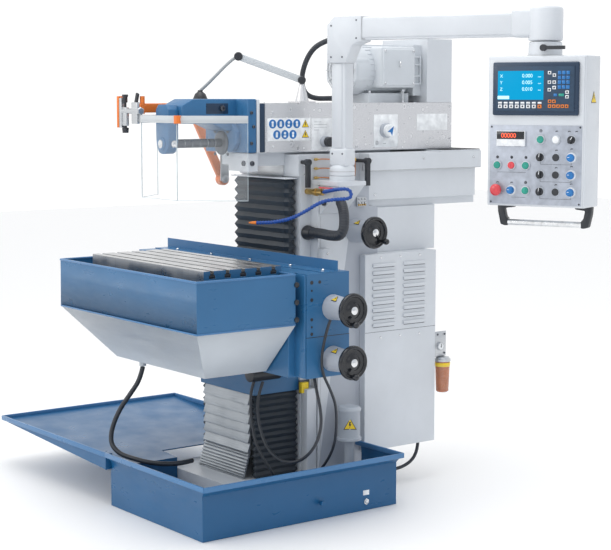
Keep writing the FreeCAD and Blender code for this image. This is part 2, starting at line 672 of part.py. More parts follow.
def boom_block(name, reach, side, z):
    box = doc.addObject("Part::Box", name)
    box.Placement.Rotation = FreeCAD.Rotation(FreeCAD.Vector(0, 0, 1),
                                              DIMENSIONS["boom_angle"])
    for size, (low, high) in zip(("Length", "Width", "Height"), (reach, side, z)):
        bind(box, **{size: "(%s) - (%s)" % (high, low)})
    return place(box, *along_boom(reach[0], side[0]), z[0])


def facing_rod(name, radius, length, reach, side, z):
    """A cylinder that runs out of the pendant's face, towards the operator."""
    angle = math.radians(DIMENSIONS["boom_angle"])
    outward = FreeCAD.Vector(math.sin(angle), -math.cos(angle), 0)
    cylinder = doc.addObject("Part::Cylinder", name)
    cylinder.Placement.Rotation = FreeCAD.Rotation(FreeCAD.Vector(0, 0, 1), outward)
    bind(cylinder, Radius=radius, Height=length)
    return place(cylinder, *along_boom(reach, side), z)


def swivel_boom():
    elbow = cut("elbow_cut",
                boom_block("elbow", ("-46", "96"), ("-40", "40"), ("elbow_bottom", "elbow_top")),
                boom_block("elbow_underside", ("42", "100"), ("-41", "41"),
                           ("elbow_bottom - 1", "boom_bottom - 10")))
    tube = boom_block("boom_tube", ("96", "boom_reach - 60"), ("-boom_half", "boom_half"),
                      ("boom_bottom", "boom_top"))
    tube_inside = boom_block("boom_inside", ("95", "boom_reach - 59"),
                             ("4 - boom_half", "boom_half - 4"),
                             ("boom_bottom + 4", "boom_top - 4"))
    post = boom_block("post_tube", ("-30", "30"), ("-30", "30"), ("1311", "elbow_bottom"))
    post_inside = boom_block("post_inside", ("-26", "26"), ("-26", "26"),
                             ("1312", "elbow_bottom + 1"))
    collar = rod("post_collar", "z", "45", "100", "post_x", "post_y", "post_joint")
    end = fuse("boom_end",
               boom_block("boom_end_block", ("boom_reach - 112", "boom_reach"), ("-44", "44"),
                          ("neck_top + 12", "boom_end_top - 6")),
               rod("boom_end_drum", "z", "neck_radius", "boom_end_top - neck_top",
                   *along_boom("boom_reach", "0"), "neck_top"))
    end_cut = cut("boom_end_cut", end, boom_block(
        "boom_socket", ("boom_reach - 113", "boom_reach - 60"), ("-boom_half", "boom_half"),
        ("boom_bottom", "boom_top")))
    node("swivel_boom", collar, cut("post_shell", post, post_inside), elbow,
         cut("boom_shell", tube, tube_inside), end_cut)


LEFT_COLUMNS, RIGHT_COLUMNS = (-136, -84, -32), (20, 76, 130)
ROWS, LEFT_ROW, LOW_ROW = (1356, 1297, 1239, 1182), 1268, 1184
PUSH_BUTTONS = {
    "power_button": (RIGHT_COLUMNS[0], ROWS[0]), "light_button": (RIGHT_COLUMNS[1], ROWS[0]),
    "reverse_button": (LEFT_COLUMNS[0], LEFT_ROW), "stop_button": (LEFT_COLUMNS[1], LEFT_ROW),
    "forward_button": (LEFT_COLUMNS[2], LEFT_ROW), "coolant_button": (LEFT_COLUMNS[2], LOW_ROW)}
SELECTORS = {"mode_selector": (RIGHT_COLUMNS[2], ROWS[0])}
SPEED_KNOBS = {"spindle_speed_knob": (LEFT_COLUMNS[1], LOW_ROW)}
RAPID_BUTTONS = []
for axis, height in zip("xyz", ROWS[1:]):
    SELECTORS[axis + "_axis_selector"] = (RIGHT_COLUMNS[0], height)
    SPEED_KNOBS[axis + "_feed_knob"] = (RIGHT_COLUMNS[2], height)
    RAPID_BUTTONS.append((RIGHT_COLUMNS[1], height))
EMERGENCY_STOP = (LEFT_COLUMNS[0], LOW_ROW)


def pendant():
    face, back = "-pendant_face", "pendant_depth - pendant_face"

    def on_face(name, radius, start, length, spot):
        return facing_rod(name, radius, length, "boom_reach + %d" % spot[0],
                          "-pendant_face + %s" % start, str(spot[1]))

    shell = boom_block("pendant_shell", ("boom_reach - pendant_half", "boom_reach + pendant_half"),
                       (face, back), ("pendant_bottom", "pendant_top"))
    inside = boom_block("pendant_inside",
                        ("boom_reach - pendant_half + sheet", "boom_reach + pendant_half - sheet"),
                        (face + " + sheet", back + " - sheet"),
                        ("pendant_bottom + sheet", "pendant_top - sheet"))
    pushed = list(PUSH_BUTTONS.values())
    turned_knobs = list(SELECTORS.values()) + list(SPEED_KNOBS.values()) + [EMERGENCY_STOP]
    collars = [on_face("button_collar", "14", "1", "5", spot) for spot in pushed]
    holes = [on_face("control_hole", "11", "6", "14", spot) for spot in pushed + turned_knobs]
    box = cut("pendant_cut", fuse("pendant_solid", shell, *collars), inside, *holes)
    fixed = [on_face("rapid_button", "13", "0", "7", spot) for spot in RAPID_BUTTONS]
    neck = rod("pendant_neck", "z", "neck_radius - 2", "neck_top - pendant_top - 0.4",
               *along_boom("boom_reach", "0"), "pendant_top")
    readout = boom_block("readout", ("boom_reach - 154", "boom_reach + 154"),
                         (face + " - 14", face), ("1436", "1613"))
    pin = facing_rod("lever_pin", "6", "20", "boom_reach + 20", "15 - neck_radius", "1660")
    tachometer = boom_block("tachometer", ("boom_reach - 136", "boom_reach - 34"),
                            (face + " - 10", face), ("1332", "1383"))
    bar_z, bar_side = "pendant_bottom - 62", "20"
    arms = [boom_block("handle_arm", ("boom_reach + %d" % at, "boom_reach + %d" % (at + 24)),
                       ("8", "32"), (bar_z + " - 12", "pendant_bottom")) for at in (-160, 136)]
    bar_x, bar_y = along_boom("boom_reach - 137", bar_side)
    bar = place(doc.addObject("Part::Cylinder", "handle_bar"), bar_x, bar_y, bar_z)
    bar.Placement.Rotation = FreeCAD.Rotation(
        FreeCAD.Vector(0, 0, 1), FreeCAD.Vector(math.cos(math.radians(22)),
                                                math.sin(math.radians(22)), 0))
    bind(bar, Radius="10", Height="274")
    node("pendant_box", box, fuse("pendant_neck_pin", neck, pin), readout, tachometer, fuse("handle", bar, *arms), *fixed)

    for name, spot in PUSH_BUTTONS.items():
        node(name, on_face(name + "_cap", "10.7", "14", "24", spot))
    for name, spot in SELECTORS.items():
        stem = on_face(name + "_stem", "10.7", "10", "11", spot)
        node(name, fuse(name + "_solid", stem, on_face(name + "_head", "14", "-0.5", "16", spot)))
    for name, spot in SPEED_KNOBS.items():
        stem = on_face(name + "_stem", "10.7", "10", "11", spot)
        skirt = on_face(name + "_skirt", "15", "-0.5", "9", spot)
        grip = on_face(name + "_grip", "12", "-9.5", "13", spot)
        node(name, fuse(name + "_solid", stem, skirt, grip))
    stem = on_face("stop_stem", "10.7", "14", "28", EMERGENCY_STOP)
    head = on_face("stop_head", "20", "-13", "14", EMERGENCY_STOP)
    node("emergency_stop", fuse("stop_solid", stem, head))
    hub = facing_rod("lever_hub", "11", "14", "boom_reach + 20", "-0.5 - neck_radius", "1660")
    grip = boom_block("pendant_lever_arm", ("boom_reach + 20", "boom_reach + 96"),
                      ("-13 - neck_radius", "-3 - neck_radius"), ("1654", "1666"))
    node("pendant_lever", cut("pendant_lever_cut", fuse("pendant_lever_solid", hub, grip),
                              facing_rod("lever_bore", "6.3", "7", "boom_reach + 20",
                                         "-neck_radius", "1660")))


# ---- Work lamp and chuck guard ---------------------------------------------------------------

def stick(name, radius, start, end):
    """A round bar between two points."""
    start, end = FreeCAD.Vector(*start), FreeCAD.Vector(*end)
    bar = doc.addObject("Part::Cylinder", name)
    bar.Placement = FreeCAD.Placement(
        start, FreeCAD.Rotation(FreeCAD.Vector(0, 0, 1), end - start))
    bind(bar, Radius=radius, Height=(end - start).Length)
    return bar


LAMP_JOINT, LAMP_ELBOW, LAMP_HEAD = (100, 72, 1559), (-34, -121, 1646), (-111, -240, 1520)
ARM_FOOT, ARM_ELBOW, ARM_END = (-229, -64, 1183), (-229, -190, 1447), (-126, -480, 1455)
GUARD_CORNERS = [(-205, -371), (-90, -509), (150, -509), (310, -317)]
GUARD_TOP, GUARD_BOTTOM, RAIL_HEIGHT = 1432, 1128, 26


def lamp():
    node("lamp_arm", fuse(
        "lamp_solid", ball("lamp_joint", "12", *LAMP_JOINT),
        stick("lamp_lower_arm", "9", LAMP_JOINT, LAMP_ELBOW), ball("lamp_elbow", "13", *LAMP_ELBOW),
        stick("lamp_upper_arm", "6", LAMP_ELBOW, LAMP_HEAD),
        cone("lamp_head", "z", "30", "14", "70", LAMP_HEAD[0], LAMP_HEAD[1], "1446")))


def guard():
    plate = block("guard_mount", ("-216", "-208"), ("-186", "-30"), ("1166", "1330"))
    tab = block("guard_tab", ("-216", "-ram_half - 2"), ("flange_front + 2", "flange_front + 14"),
                ("1300", "1330"))
    pin = rod("guard_pin", "x", "7", "24", "-240", ARM_FOOT[1], ARM_FOOT[2])
    link = stick("guard_lower_link", "16", ARM_FOOT, (ARM_ELBOW[0], ARM_ELBOW[1], 1428))
    node("guard_bracket", fuse("guard_bracket_solid", plate, tab, pin, link))
    elbow = rod("guard_elbow", "z", "17", "40", ARM_ELBOW[0], ARM_ELBOW[1], "1436")
    upper = stick("guard_upper_link", "14", (ARM_ELBOW[0], ARM_ELBOW[1], 1457), ARM_END)
    post = rod("guard_pivot", "z", "9", "60", ARM_END[0], ARM_END[1], "1440")
    node("guard_arm", fuse("guard_arm_solid", elbow, upper, post))

    pieces = []
    for index, (start, end) in enumerate(zip(GUARD_CORNERS, GUARD_CORNERS[1:])):
        run = math.dist(start, end)
        heading = FreeCAD.Rotation(FreeCAD.Vector(0, 0, 1), math.degrees(
            math.atan2(end[1] - start[1], end[0] - start[0])))
        for name, thick, low, high in (("rail", 10, GUARD_TOP - RAIL_HEIGHT, GUARD_TOP),
                                       ("pane", 4, GUARD_BOTTOM, GUARD_TOP - RAIL_HEIGHT + 2)):
            panel = doc.addObject("Part::Box", "guard_%s_%d" % (name, index))
            panel.Placement.Rotation = heading
            bind(panel, Length=run, Width=thick, Height=high - low)
            pieces.append(place(panel, start[0], start[1], low))
    hanger = block("guard_hanger", ("-250", "-104"), ("-506", "-494"), ("1396", "1500"))
    eye = cut("guard_eye_cut", block("guard_eye", ("-150", "-104"), ("-500", "-462"), ("1404", "1433")),
              rod("guard_eye_hole", "z", "9.3", "70", ARM_END[0], ARM_END[1], "1390"))
    node("guard_screen", fuse("guard_solid", hanger, eye, *pieces))


# ---- Cords: the points are the corners of each route ----------------------------------------------

CORDS = {
    "coolant_hose": (14, [
        (292, 28, 1154), (340, 14, 1161), (388, 10, 1169), (430, 40, 1173), (431, 48, 1137),
        (402, 2, 1135), (372, -42, 1128), (330, -70, 1097), (280, -104, 1064),
        (224, -136, 1049), (176, -165, 1044), (130, -190, 1043)]),
    "lower_conduit": (38, [
        (198, 30, 1000), (262, 30, 1004), (334, 25, 998), (412, 26, 1004), (392, 46, 1094),
        (330, 76, 1118)]),
    "upper_conduit": (20, [
        (238, 92, 1702), (192, 78, 1690), (134, 76, 1650), (64, 100, 1588), (34, 122, 1534),
        (18, 158, 1502), (18, 206, 1490), (26, 262, 1492), (24, 318, 1490)]),
    "rear_cable": (13, [
        (215, 556, 157), (215, 554, 118), (214, 528, 78), (213, 480, 58), (212, 424, 54),
        (212, 376, 58), (212, 341, 63)]),
    "x_drive_cable": (10, [
        (604, -182, 740), (600, -190, 716), (584, -194, 662), (574, -198, 604), (566, -186, 548),
        (550, -142, 489), (520, -92, 424), (484, -60, 342), (444, -38, 252), (392, -34, 184),
        (338, -36, 130), (300, -44, 92), (262, -60, 70)]),
    "feed_cable_left": (11, [
        (196, -216, 472), (186, -222, 440), (188, -226, 396), (196, -230, 344), (214, -234, 288),
        (240, -234, 238), (270, -226, 196), (292, -206, 152), (290, -186, 112), (269, -175, 86)]),
    "feed_cable_right": (11, [
        (212, -188, 469), (206, -196, 440), (202, -206, 396), (218, -215, 340), (246, -220, 286),
        (288, -220, 234), (348, -215, 208), (417, -205, 207), (490, -200, 241), (546, -195, 300),
        (566, -190, 367), (556, -188, 428), (529, -185, 486), (512, -182, 529)]),
    "hopper_hose": (18, [
        (-195, -450, 494), (-206, -456, 446), (-244, -472, 392), (-284, -500, 326),
        (-304, -524, 252), (-290, -538, 198), (-236, -534, 168), (-170, -512, 158),
        (-104, -480, 150), (-58, -432, 146), (-34, -378, 148), (-40, -332, 150)]),
}


def cords():
    for label, (diameter, route) in CORDS.items():
        cord(label, route, diameter)


# ---- Build, check and export -------------------------------------------------------------------------

column_casting()
chip_tray()
rear_enclosure()
column_fittings()
bellows()
knee()
table()
splash_tray()
ram()
overarm()
spindle()
motor()
handwheel("x_handwheel", "knee_half", "wheel_y", "x_wheel_height", ("-10", "-45.5"))
handwheel("y_handwheel", "column_half", "y_wheel_y", "y_wheel_height", ("33", "-33"))
handwheel("z_handwheel", "knee_half", "wheel_y", "z_wheel_height", ("-10", "-45.5"))
levers_and_selectors()
swivel_boom()
pendant()
lamp()
guard()
cords()
doc.recompute()

failed = [item.Label for item in doc.Objects if {"Invalid", "Error"} & set(item.State)]
for item in NODES:
    if item.Shape.isNull() or not item.Shape.isValid() or not item.Shape.Solids:
        failed.append(item.Label)
if failed:
    raise RuntimeError("not built: " + ", ".join(failed))

os.makedirs("parts", exist_ok=True)
for item in NODES:
    item.Shape.exportStep("parts/%s.step" % item.Label)
print(len(NODES), "nodes")
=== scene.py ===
import json
import math

import bmesh
import bpy
from mathutils import Matrix, Vector


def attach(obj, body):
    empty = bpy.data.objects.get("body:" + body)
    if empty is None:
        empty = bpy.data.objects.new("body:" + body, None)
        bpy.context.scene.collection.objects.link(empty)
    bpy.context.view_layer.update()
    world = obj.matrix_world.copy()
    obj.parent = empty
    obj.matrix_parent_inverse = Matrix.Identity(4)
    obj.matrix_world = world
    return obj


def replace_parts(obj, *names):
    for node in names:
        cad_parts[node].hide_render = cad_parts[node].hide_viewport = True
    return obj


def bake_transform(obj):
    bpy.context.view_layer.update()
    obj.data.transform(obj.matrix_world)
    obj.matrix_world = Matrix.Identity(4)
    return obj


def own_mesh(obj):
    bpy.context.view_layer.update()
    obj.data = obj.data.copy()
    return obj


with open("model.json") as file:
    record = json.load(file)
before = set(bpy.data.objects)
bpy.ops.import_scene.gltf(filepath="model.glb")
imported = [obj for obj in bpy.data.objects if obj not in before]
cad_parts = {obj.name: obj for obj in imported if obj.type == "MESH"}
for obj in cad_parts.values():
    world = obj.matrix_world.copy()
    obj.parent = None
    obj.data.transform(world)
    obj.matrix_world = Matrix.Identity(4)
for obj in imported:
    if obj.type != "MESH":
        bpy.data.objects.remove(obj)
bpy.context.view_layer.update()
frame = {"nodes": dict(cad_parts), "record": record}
NODES = frame["nodes"]
BODY = {n: b for b, nodes in frame["record"]["behaviour"]["bodies"].items() for n in nodes}
scene = bpy.context.scene
MM = 0.001
ROOT = "frame_group"
FINISHED = {}

# Axes and corners, in millimetres, that several pieces share.
SPINDLE_Z, MOTOR_Z = 1330, 1600
POST_X, POST_Y, BOOM_REACH = 291, 114, 787
KNEE_END, WHEEL_REACH = 554, 116
PUMP_X, PUMP_Y = 305, 139
CUP_X, CUP_Y = 258, 642
GAUGE_Y, GAUGE_Z = 622, 529
GUARD_PIVOT, GUARD_ELBOW, GUARD_TIP = (-229, -64, 1183), (-229, -190), (-126, -480)
HEX, FINE = 6, 32

# ---- Materials ---------------------------------------------------------------------


def shader(name, color, rough, metallic=0.0, **inputs):
    """A Principled material; returns it with its node tree, its shader and a coordinate output."""
    made = bpy.data.materials.new(name)
    made.use_nodes = True
    tree = made.node_tree
    bsdf = tree.nodes["Principled BSDF"]
    bsdf.inputs["Base Color"].default_value = (*color, 1)
    bsdf.inputs["Roughness"].default_value = rough
    bsdf.inputs["Metallic"].default_value = metallic
    for key, number in inputs.items():
        bsdf.inputs[key.replace("_", " ")].default_value = number
    where = tree.nodes.new("ShaderNodeTexCoord").outputs["Object"]
    return made, tree, bsdf, where


def add_node(tree, kind, source, entry, **inputs):
    """A shader node fed by one source, with some of its inputs set."""
    node = tree.nodes.new("ShaderNode" + kind)
    for key, number in inputs.items():
        node.inputs[key.replace("_", " ")].default_value = number
    tree.links.new(source, node.inputs[entry])
    return node.outputs


def stretched(tree, where, scale):
    return add_node(tree, "Mapping", where, "Vector", Scale=scale)["Vector"]


def noise(tree, where, scale, detail=4.0, rough=0.55):
    return add_node(tree, "TexNoise", where, "Vector", Scale=scale, Detail=detail,
                    Roughness=rough)["Fac"]


def spread(tree, source, low, high, start=0.3, stop=0.7):
    """Maps a 0 to 1 pattern onto a range of values."""
    return add_node(tree, "MapRange", source, "Value", From_Min=start, From_Max=stop,
                    To_Min=low, To_Max=high)["Result"]


def tint(tree, factor, first, second):
    node = tree.nodes.new("ShaderNodeMix")
    node.data_type = "RGBA"
    node.inputs["A"].default_value = (*first, 1)
    node.inputs["B"].default_value = (*second, 1)
    tree.links.new(factor, node.inputs["Factor"])
    return node.outputs["Result"]


def bump(tree, bsdf, height, strength, distance):
    raised = add_node(tree, "Bump", height, "Height", Strength=strength, Distance=distance)
    tree.links.new(raised["Normal"], bsdf.inputs["Normal"])


def shade(color, factor):
    return tuple(min(1.0, c * factor) for c in color)


def painted(name, color, rough=0.34, cast=False):
    """Machine enamel: a faint cloudy tone and uneven gloss, over a grainy skin on castings."""
    made, tree, bsdf, where = shader(name, color, rough, Specular_IOR_Level=0.5)
    cloud = noise(tree, where, 3.2, 6, 0.6)
    tree.links.new(tint(tree, spread(tree, cloud, 0, 1, 0.32, 0.68),
                        shade(color, 0.93), shade(color, 1.04)), bsdf.inputs["Base Color"])
    smear = noise(tree, stretched(tree, where, (9, 9, 30)), 1.0, 5)
    tree.links.new(spread(tree, smear, rough - 0.06, rough + 0.12), bsdf.inputs["Roughness"])
    if cast:
        bump(tree, bsdf, noise(tree, where, 110, 3), 0.25, 0.0012)
    return made


def steel(name, color=(0.58, 0.59, 0.60), rough=0.28, grain=(4, 4, 900), fine=0.16):
    """Ground or turned steel with a fine directional lay."""
    made, tree, bsdf, where = shader(name, color, rough, 1.0)
    lay = noise(tree, stretched(tree, where, grain), 1.0, 6, 0.7)
    tree.links.new(tint(tree, spread(tree, lay, 0, 1), shade(color, 0.78), shade(color, 1.12)),
                   bsdf.inputs["Base Color"])
    patch = noise(tree, where, 14, 4)
    tree.links.new(spread(tree, patch, rough - 0.05, rough + 0.14), bsdf.inputs["Roughness"])
    bump(tree, bsdf, lay, fine, 0.0002)
    return made


def plastic(name, color, rough=0.38, texture=0.25, scale=900, **inputs):
    """Moulded plastic or rubber with a fine skin texture and slight wear."""
    made, tree, bsdf, where = shader(name, color, rough, **inputs)
    rub = noise(tree, where, 38, 5)
    tree.links.new(tint(tree, spread(tree, rub, 0, 1), shade(color, 0.86), shade(color, 1.18)),
                   bsdf.inputs["Base Color"])
    tree.links.new(spread(tree, rub, rough - 0.05, rough + 0.12), bsdf.inputs["Roughness"])
    bump(tree, bsdf, noise(tree, where, scale, 2), texture, 0.0002)
    return made


def swirled(name):
    """Sheet steel finished with overlapping brushed swirls."""
    made, tree, bsdf, where = shader(name, (0.66, 0.67, 0.68), 0.3, 1.0)
    cells = add_node(tree, "TexVoronoi", where, "Vector", Scale=26)
    rings = tree.nodes.new("ShaderNodeMath")
    rings.operation = "SINE"
    wide = tree.nodes.new("ShaderNodeMath")
    wide.operation = "MULTIPLY"
    wide.inputs[1].default_value = 95
    tree.links.new(cells["Distance"], wide.inputs[0])
    tree.links.new(wide.outputs[0], rings.inputs[0])
    tree.links.new(tint(tree, spread(tree, rings.outputs[0], 0, 1, -1, 1),
                        (0.62, 0.62, 0.63), (0.84, 0.84, 0.85)), bsdf.inputs["Base Color"])
    tree.links.new(spread(tree, rings.outputs[0], 0.24, 0.42, -1, 1), bsdf.inputs["Roughness"])
    bump(tree, bsdf, rings.outputs[0], 0.10, 0.0002)
    return made


def glow(name, color, strength):
    """A lit display."""
    return shader(name, (0.0, 0.01, 0.01), 0.4, Specular_IOR_Level=0.08,
                  Emission_Color=(*color, 1), Emission_Strength=strength)[0]


def clear(name):
    """Clear polycarbonate: faint haze and a little waviness."""
    made, tree, bsdf, where = shader(name, (0.90, 0.95, 0.97), 0.05, Alpha=0.07,
                                     Specular_IOR_Level=0.7)
    bump(tree, bsdf, noise(tree, where, 9, 2), 0.05, 0.002)
    return made


WHITE = (0.64, 0.67, 0.705)
BLUE = (0.028, 0.138, 0.300)
M = {
    "white": painted("enamel_light_grey", WHITE),
    "white_cast": painted("enamel_light_grey_cast", WHITE, 0.36, cast=True),
    "blue": painted("enamel_blue", BLUE, 0.30),
    "blue_cast": painted("enamel_blue_cast", BLUE, 0.34, cast=True),
    "hopper": painted("enamel_grey", (0.52, 0.56, 0.60), 0.34),
    "hub": painted("enamel_hub_grey", (0.42, 0.45, 0.50), 0.34, cast=True),
    "motor": painted("enamel_motor", (0.60, 0.635, 0.67), 0.36, cast=True),
    "pump": painted("enamel_pump", (0.46, 0.50, 0.55), 0.40, cast=True),
    "orange": painted("coat_orange", (0.80, 0.19, 0.025), 0.34),
    "lamp": painted("lamp_grey", (0.34, 0.36, 0.37), 0.38),
    # A darker copy of the same enamel blue: painted shade on the chip tray and its gusset.
    "blue_tray_shaded": painted("enamel_blue_tray_shaded", (0.008, 0.100, 0.245), 0.32),
    # A lighter copy of the enamel blue: painted highlight along the rolled tray rims.
    "blue_rim_highlight": painted("enamel_blue_rim_highlight", (0.060, 0.185, 0.380), 0.30),
    "apron": steel("apron_aluminium", (0.40, 0.43, 0.46), 0.40, (10, 10, 700), 0.12),
    "dark_blue": painted("readout_blue", (0.012, 0.035, 0.075), 0.30),
    "panel_blue": plastic("readout_panel_blue", (0.020, 0.050, 0.095), 0.42, 0.05),
    "panel_grey": plastic("control_panel_grey", (0.40, 0.43, 0.49), 0.34, 0.03, Metallic=0.3),
    "iron": steel("ground_iron", (0.52, 0.53, 0.54), 0.30, (900, 4, 4), 0.10),
    "steel": steel("turned_steel", (0.60, 0.61, 0.62), 0.24, (30, 700, 30)),
    "plate": steel("brushed_plate", (0.60, 0.62, 0.64), 0.34, (10, 10, 1100), 0.12),
    "chrome": steel("chrome_trim", (0.78, 0.79, 0.80), 0.10, (60, 60, 60), 0.03),
    "dark_steel": steel("blackened_steel", (0.13, 0.14, 0.16), 0.42, (40, 40, 300)),
    "brass": steel("brass_fittings", (0.62, 0.42, 0.15), 0.26, (60, 60, 300)),
    "copper": steel("copper_pipe", (0.66, 0.30, 0.16), 0.28, (60, 60, 60)),
    "swirl": swirled("swirl_steel"),
    "black": plastic("black_plastic", (0.022, 0.025, 0.031), 0.34),
    "gloss_black": plastic("black_gloss", (0.007, 0.009, 0.013), 0.20, 0.08, Coat_Weight=0.25),
    "rubber": plastic("black_rubber", (0.022, 0.031, 0.042), 0.46, 0.5, 500),
    "cable": plastic("cable_jacket", (0.026, 0.031, 0.040), 0.42, 0.2, 300),
    "hose_blue": plastic("hose_blue_plastic", (0.006, 0.060, 0.300), 0.35),
    "hose_orange": plastic("nozzle_orange_plastic", (0.75, 0.20, 0.02), 0.35),
    "green": plastic("green_plastic", (0.005, 0.280, 0.210), 0.22, 0.05, Coat_Weight=0.4),
    "red": plastic("red_plastic", (0.62, 0.045, 0.060), 0.22, 0.05, Coat_Weight=0.4),
    "milky": plastic("white_plastic", (0.78, 0.80, 0.82), 0.25, 0.05, Coat_Weight=0.4),
    "knob_blue": plastic("blue_plastic", (0.004, 0.150, 0.430), 0.28, 0.05, Coat_Weight=0.3),
    "grey_key": plastic("grey_keys", (0.40, 0.42, 0.44), 0.40, 0.08),
    "yellow": plastic("yellow_print", (0.85, 0.60, 0.02), 0.40, 0.05),
    "sticker_blue": plastic("blue_print", (0.008, 0.150, 0.440), 0.34, 0.04),
    "sticker_white": plastic("white_print", (0.82, 0.84, 0.86), 0.34, 0.04),
    "oil": plastic("amber_oil_cup", (0.42, 0.12, 0.03), 0.14, 0.02, Coat_Weight=0.5),
    "putty": plastic("sealing_bead", (0.45, 0.46, 0.47), 0.6, 0.4, 200),
    "clear": clear("clear_guard"),
    # Light, nearly opaque strips for the guard pane edges: painted highlight over the sheets' own
    # greenish tint.
    "pane_edge_highlight": plastic("clear_guard_edge_highlight", (0.62, 0.70, 0.74), 0.2, 0.02, Alpha=0.75),
    "lamp_bright": painted("lamp_arm_grey", (0.55, 0.58, 0.60), 0.36),
    "cyan_glow": glow("display_digits", (0.55, 0.95, 1.0), 1.4),
    "red_glow": glow("led_digits", (1.0, 0.12, 0.05), 2.0),
    "screen": glow("display_ground", (0.0, 0.40, 0.76), 0.95),
}

# ---- Geometry ----------------------------------------------------------------------

QUARTER_TURN = math.pi / 2
FACING = {"x": Matrix.Rotation(QUARTER_TURN, 4, "Y"),
          "y": Matrix.Rotation(-QUARTER_TURN, 4, "X"),
          "z": Matrix.Identity(4), "-y": Matrix.Rotation(QUARTER_TURN, 4, "X"),
          "-x": Matrix.Rotation(-QUARTER_TURN, 4, "Y"), "-z": Matrix.Rotation(math.pi, 4, "X")}
HERE = Matrix.Identity(4)


class Piece:
    """Collects shapes, in millimetres, into one piece that rides on a body."""

    def __init__(self, name, body, material, place=HERE):
        self.name, self.body, self.material, self.place = name, body, material, place
        self.mesh = bmesh.new()

    def add(self, part, matrix):
        part.transform(matrix)
        spare = bpy.data.meshes.new("spare")
        part.to_mesh(spare)
        part.free()
        self.mesh.from_mesh(spare)
        bpy.data.meshes.remove(spare)

    def box(self, x, y, z, bevel=1.5, matrix=HERE, segments=2):
        part = bmesh.new()
        bmesh.ops.create_cube(part, size=1)
        size = Vector((x[1] - x[0], y[1] - y[0], z[1] - z[0]))
        centre = Vector((x[0] + x[1], y[0] + y[1], z[0] + z[1])) / 2
        part.transform(Matrix.Translation(centre) @ Matrix.Diagonal((*size, 1)))
        if bevel:
            bmesh.ops.bevel(part, geom=part.edges[:], offset=min(bevel, min(size) * 0.45),
                            segments=segments, affect="EDGES", profile=0.5)
        self.add(part, matrix)
        return self

    def turn(self, at, axis, profile, segments=40):
        """A turned shape: profile is (distance along the axis, radius) from one end."""
        part = bmesh.new()
        rings = []
        for along, radius in profile:
            rings.append([part.verts.new((radius * math.cos(2 * math.pi * i / segments),
                                          radius * math.sin(2 * math.pi * i / segments), along))
                          for i in range(segments)])
        for low, high in zip(rings, rings[1:]):
            for i in range(segments):
                j = (i + 1) % segments
                part.faces.new((low[i], low[j], high[j], high[i]))
        part.faces.new(rings[0][::-1])
        part.faces.new(rings[-1])
        bmesh.ops.recalc_face_normals(part, faces=part.faces[:])
        facing = FACING[axis] if isinstance(axis, str) else axis
        self.add(part, Matrix.Translation(Vector(at)) @ facing)
        return self

    def prism(self, outline, depth, matrix, bevel=1.0):
        """An outline in the matrix's XY plane, raised along its Z."""
        part = bmesh.new()
        face = part.faces.new([part.verts.new((x, y, 0)) for x, y in outline])
        raised = bmesh.ops.extrude_face_region(part, geom=[face])["geom"]
        bmesh.ops.translate(part, verts=[g for g in raised if isinstance(g, bmesh.types.BMVert)],
                            vec=(0, 0, depth))
        bmesh.ops.recalc_face_normals(part, faces=part.faces[:])
        if bevel:
            bmesh.ops.bevel(part, geom=part.edges[:], offset=bevel, segments=2,
                            affect="EDGES", profile=0.5)
        self.add(part, matrix)
        return self

    def screw(self, at, axis, radius=6.0, head=5.0):
        """A cylindrical screw head with a round recess."""
        rim = [(0, radius), (head * 0.8, radius), (head, radius * 0.86)]
        self.turn(at, axis, rim + [(head, radius * 0.52), (head * 0.45, radius * 0.48)], 24)
        return self

    def done(self, smooth=38):
        self.mesh.transform(self.place)
        self.mesh.transform(Matrix.Diagonal((MM, MM, MM, 1)))
        data = bpy.data.meshes.new(self.name)
        self.mesh.to_mesh(data)
        self.mesh.free()
        made = placed(self.name, data, self.material)
        shade_by_angle(made, smooth)
        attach(made, self.body)
        return made


def placed(name, data, material):
    """Puts a mesh into the scene with one material."""
    made = bpy.data.objects.new(name, data)
    scene.collection.objects.link(made)
    data.materials.clear()
    data.materials.append(M[material])
    return made


def shade_by_angle(made, degrees):
    made.data.shade_smooth()
    limit = math.radians(degrees)
    bm = bmesh.new()
    bm.from_mesh(made.data)
    for edge in bm.edges:
        if len(edge.link_faces) == 2 and edge.calc_face_angle(0) > limit:
            edge.smooth = False
    bm.to_mesh(made.data)
    bm.free()


def cast_from(node, material, bevel, segments=2):
    """The CAD solid with its edges rounded as on the finished part."""
    made = placed(node + "_finished", NODES[node].data.copy(), material)
    bm = bmesh.new()
    bm.from_mesh(made.data)
    bmesh.ops.remove_doubles(bm, verts=bm.verts[:], dist=2e-5)
    bmesh.ops.dissolve_limit(bm, angle_limit=math.radians(1.0), verts=bm.verts[:],
                             edges=bm.edges[:])
    bm.to_mesh(made.data)
    bm.free()
    normals = made.data.attributes.get("custom_normal")
    if normals:
        made.data.attributes.remove(normals)
    made.data.shade_smooth()
    if bevel:
        rounding = made.modifiers.new("rounding", "BEVEL")
        rounding.width = bevel * MM
        rounding.segments = segments
        rounding.limit_method = "ANGLE"
        rounding.angle_limit = math.radians(35)
        rounding.harden_normals = True
        rounding.use_clamp_overlap = True
    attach(made, BODY[node])
    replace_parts(made, node)
    FINISHED[node] = made
    return made


# ---- Castings and covers -----------------------------------------------------------

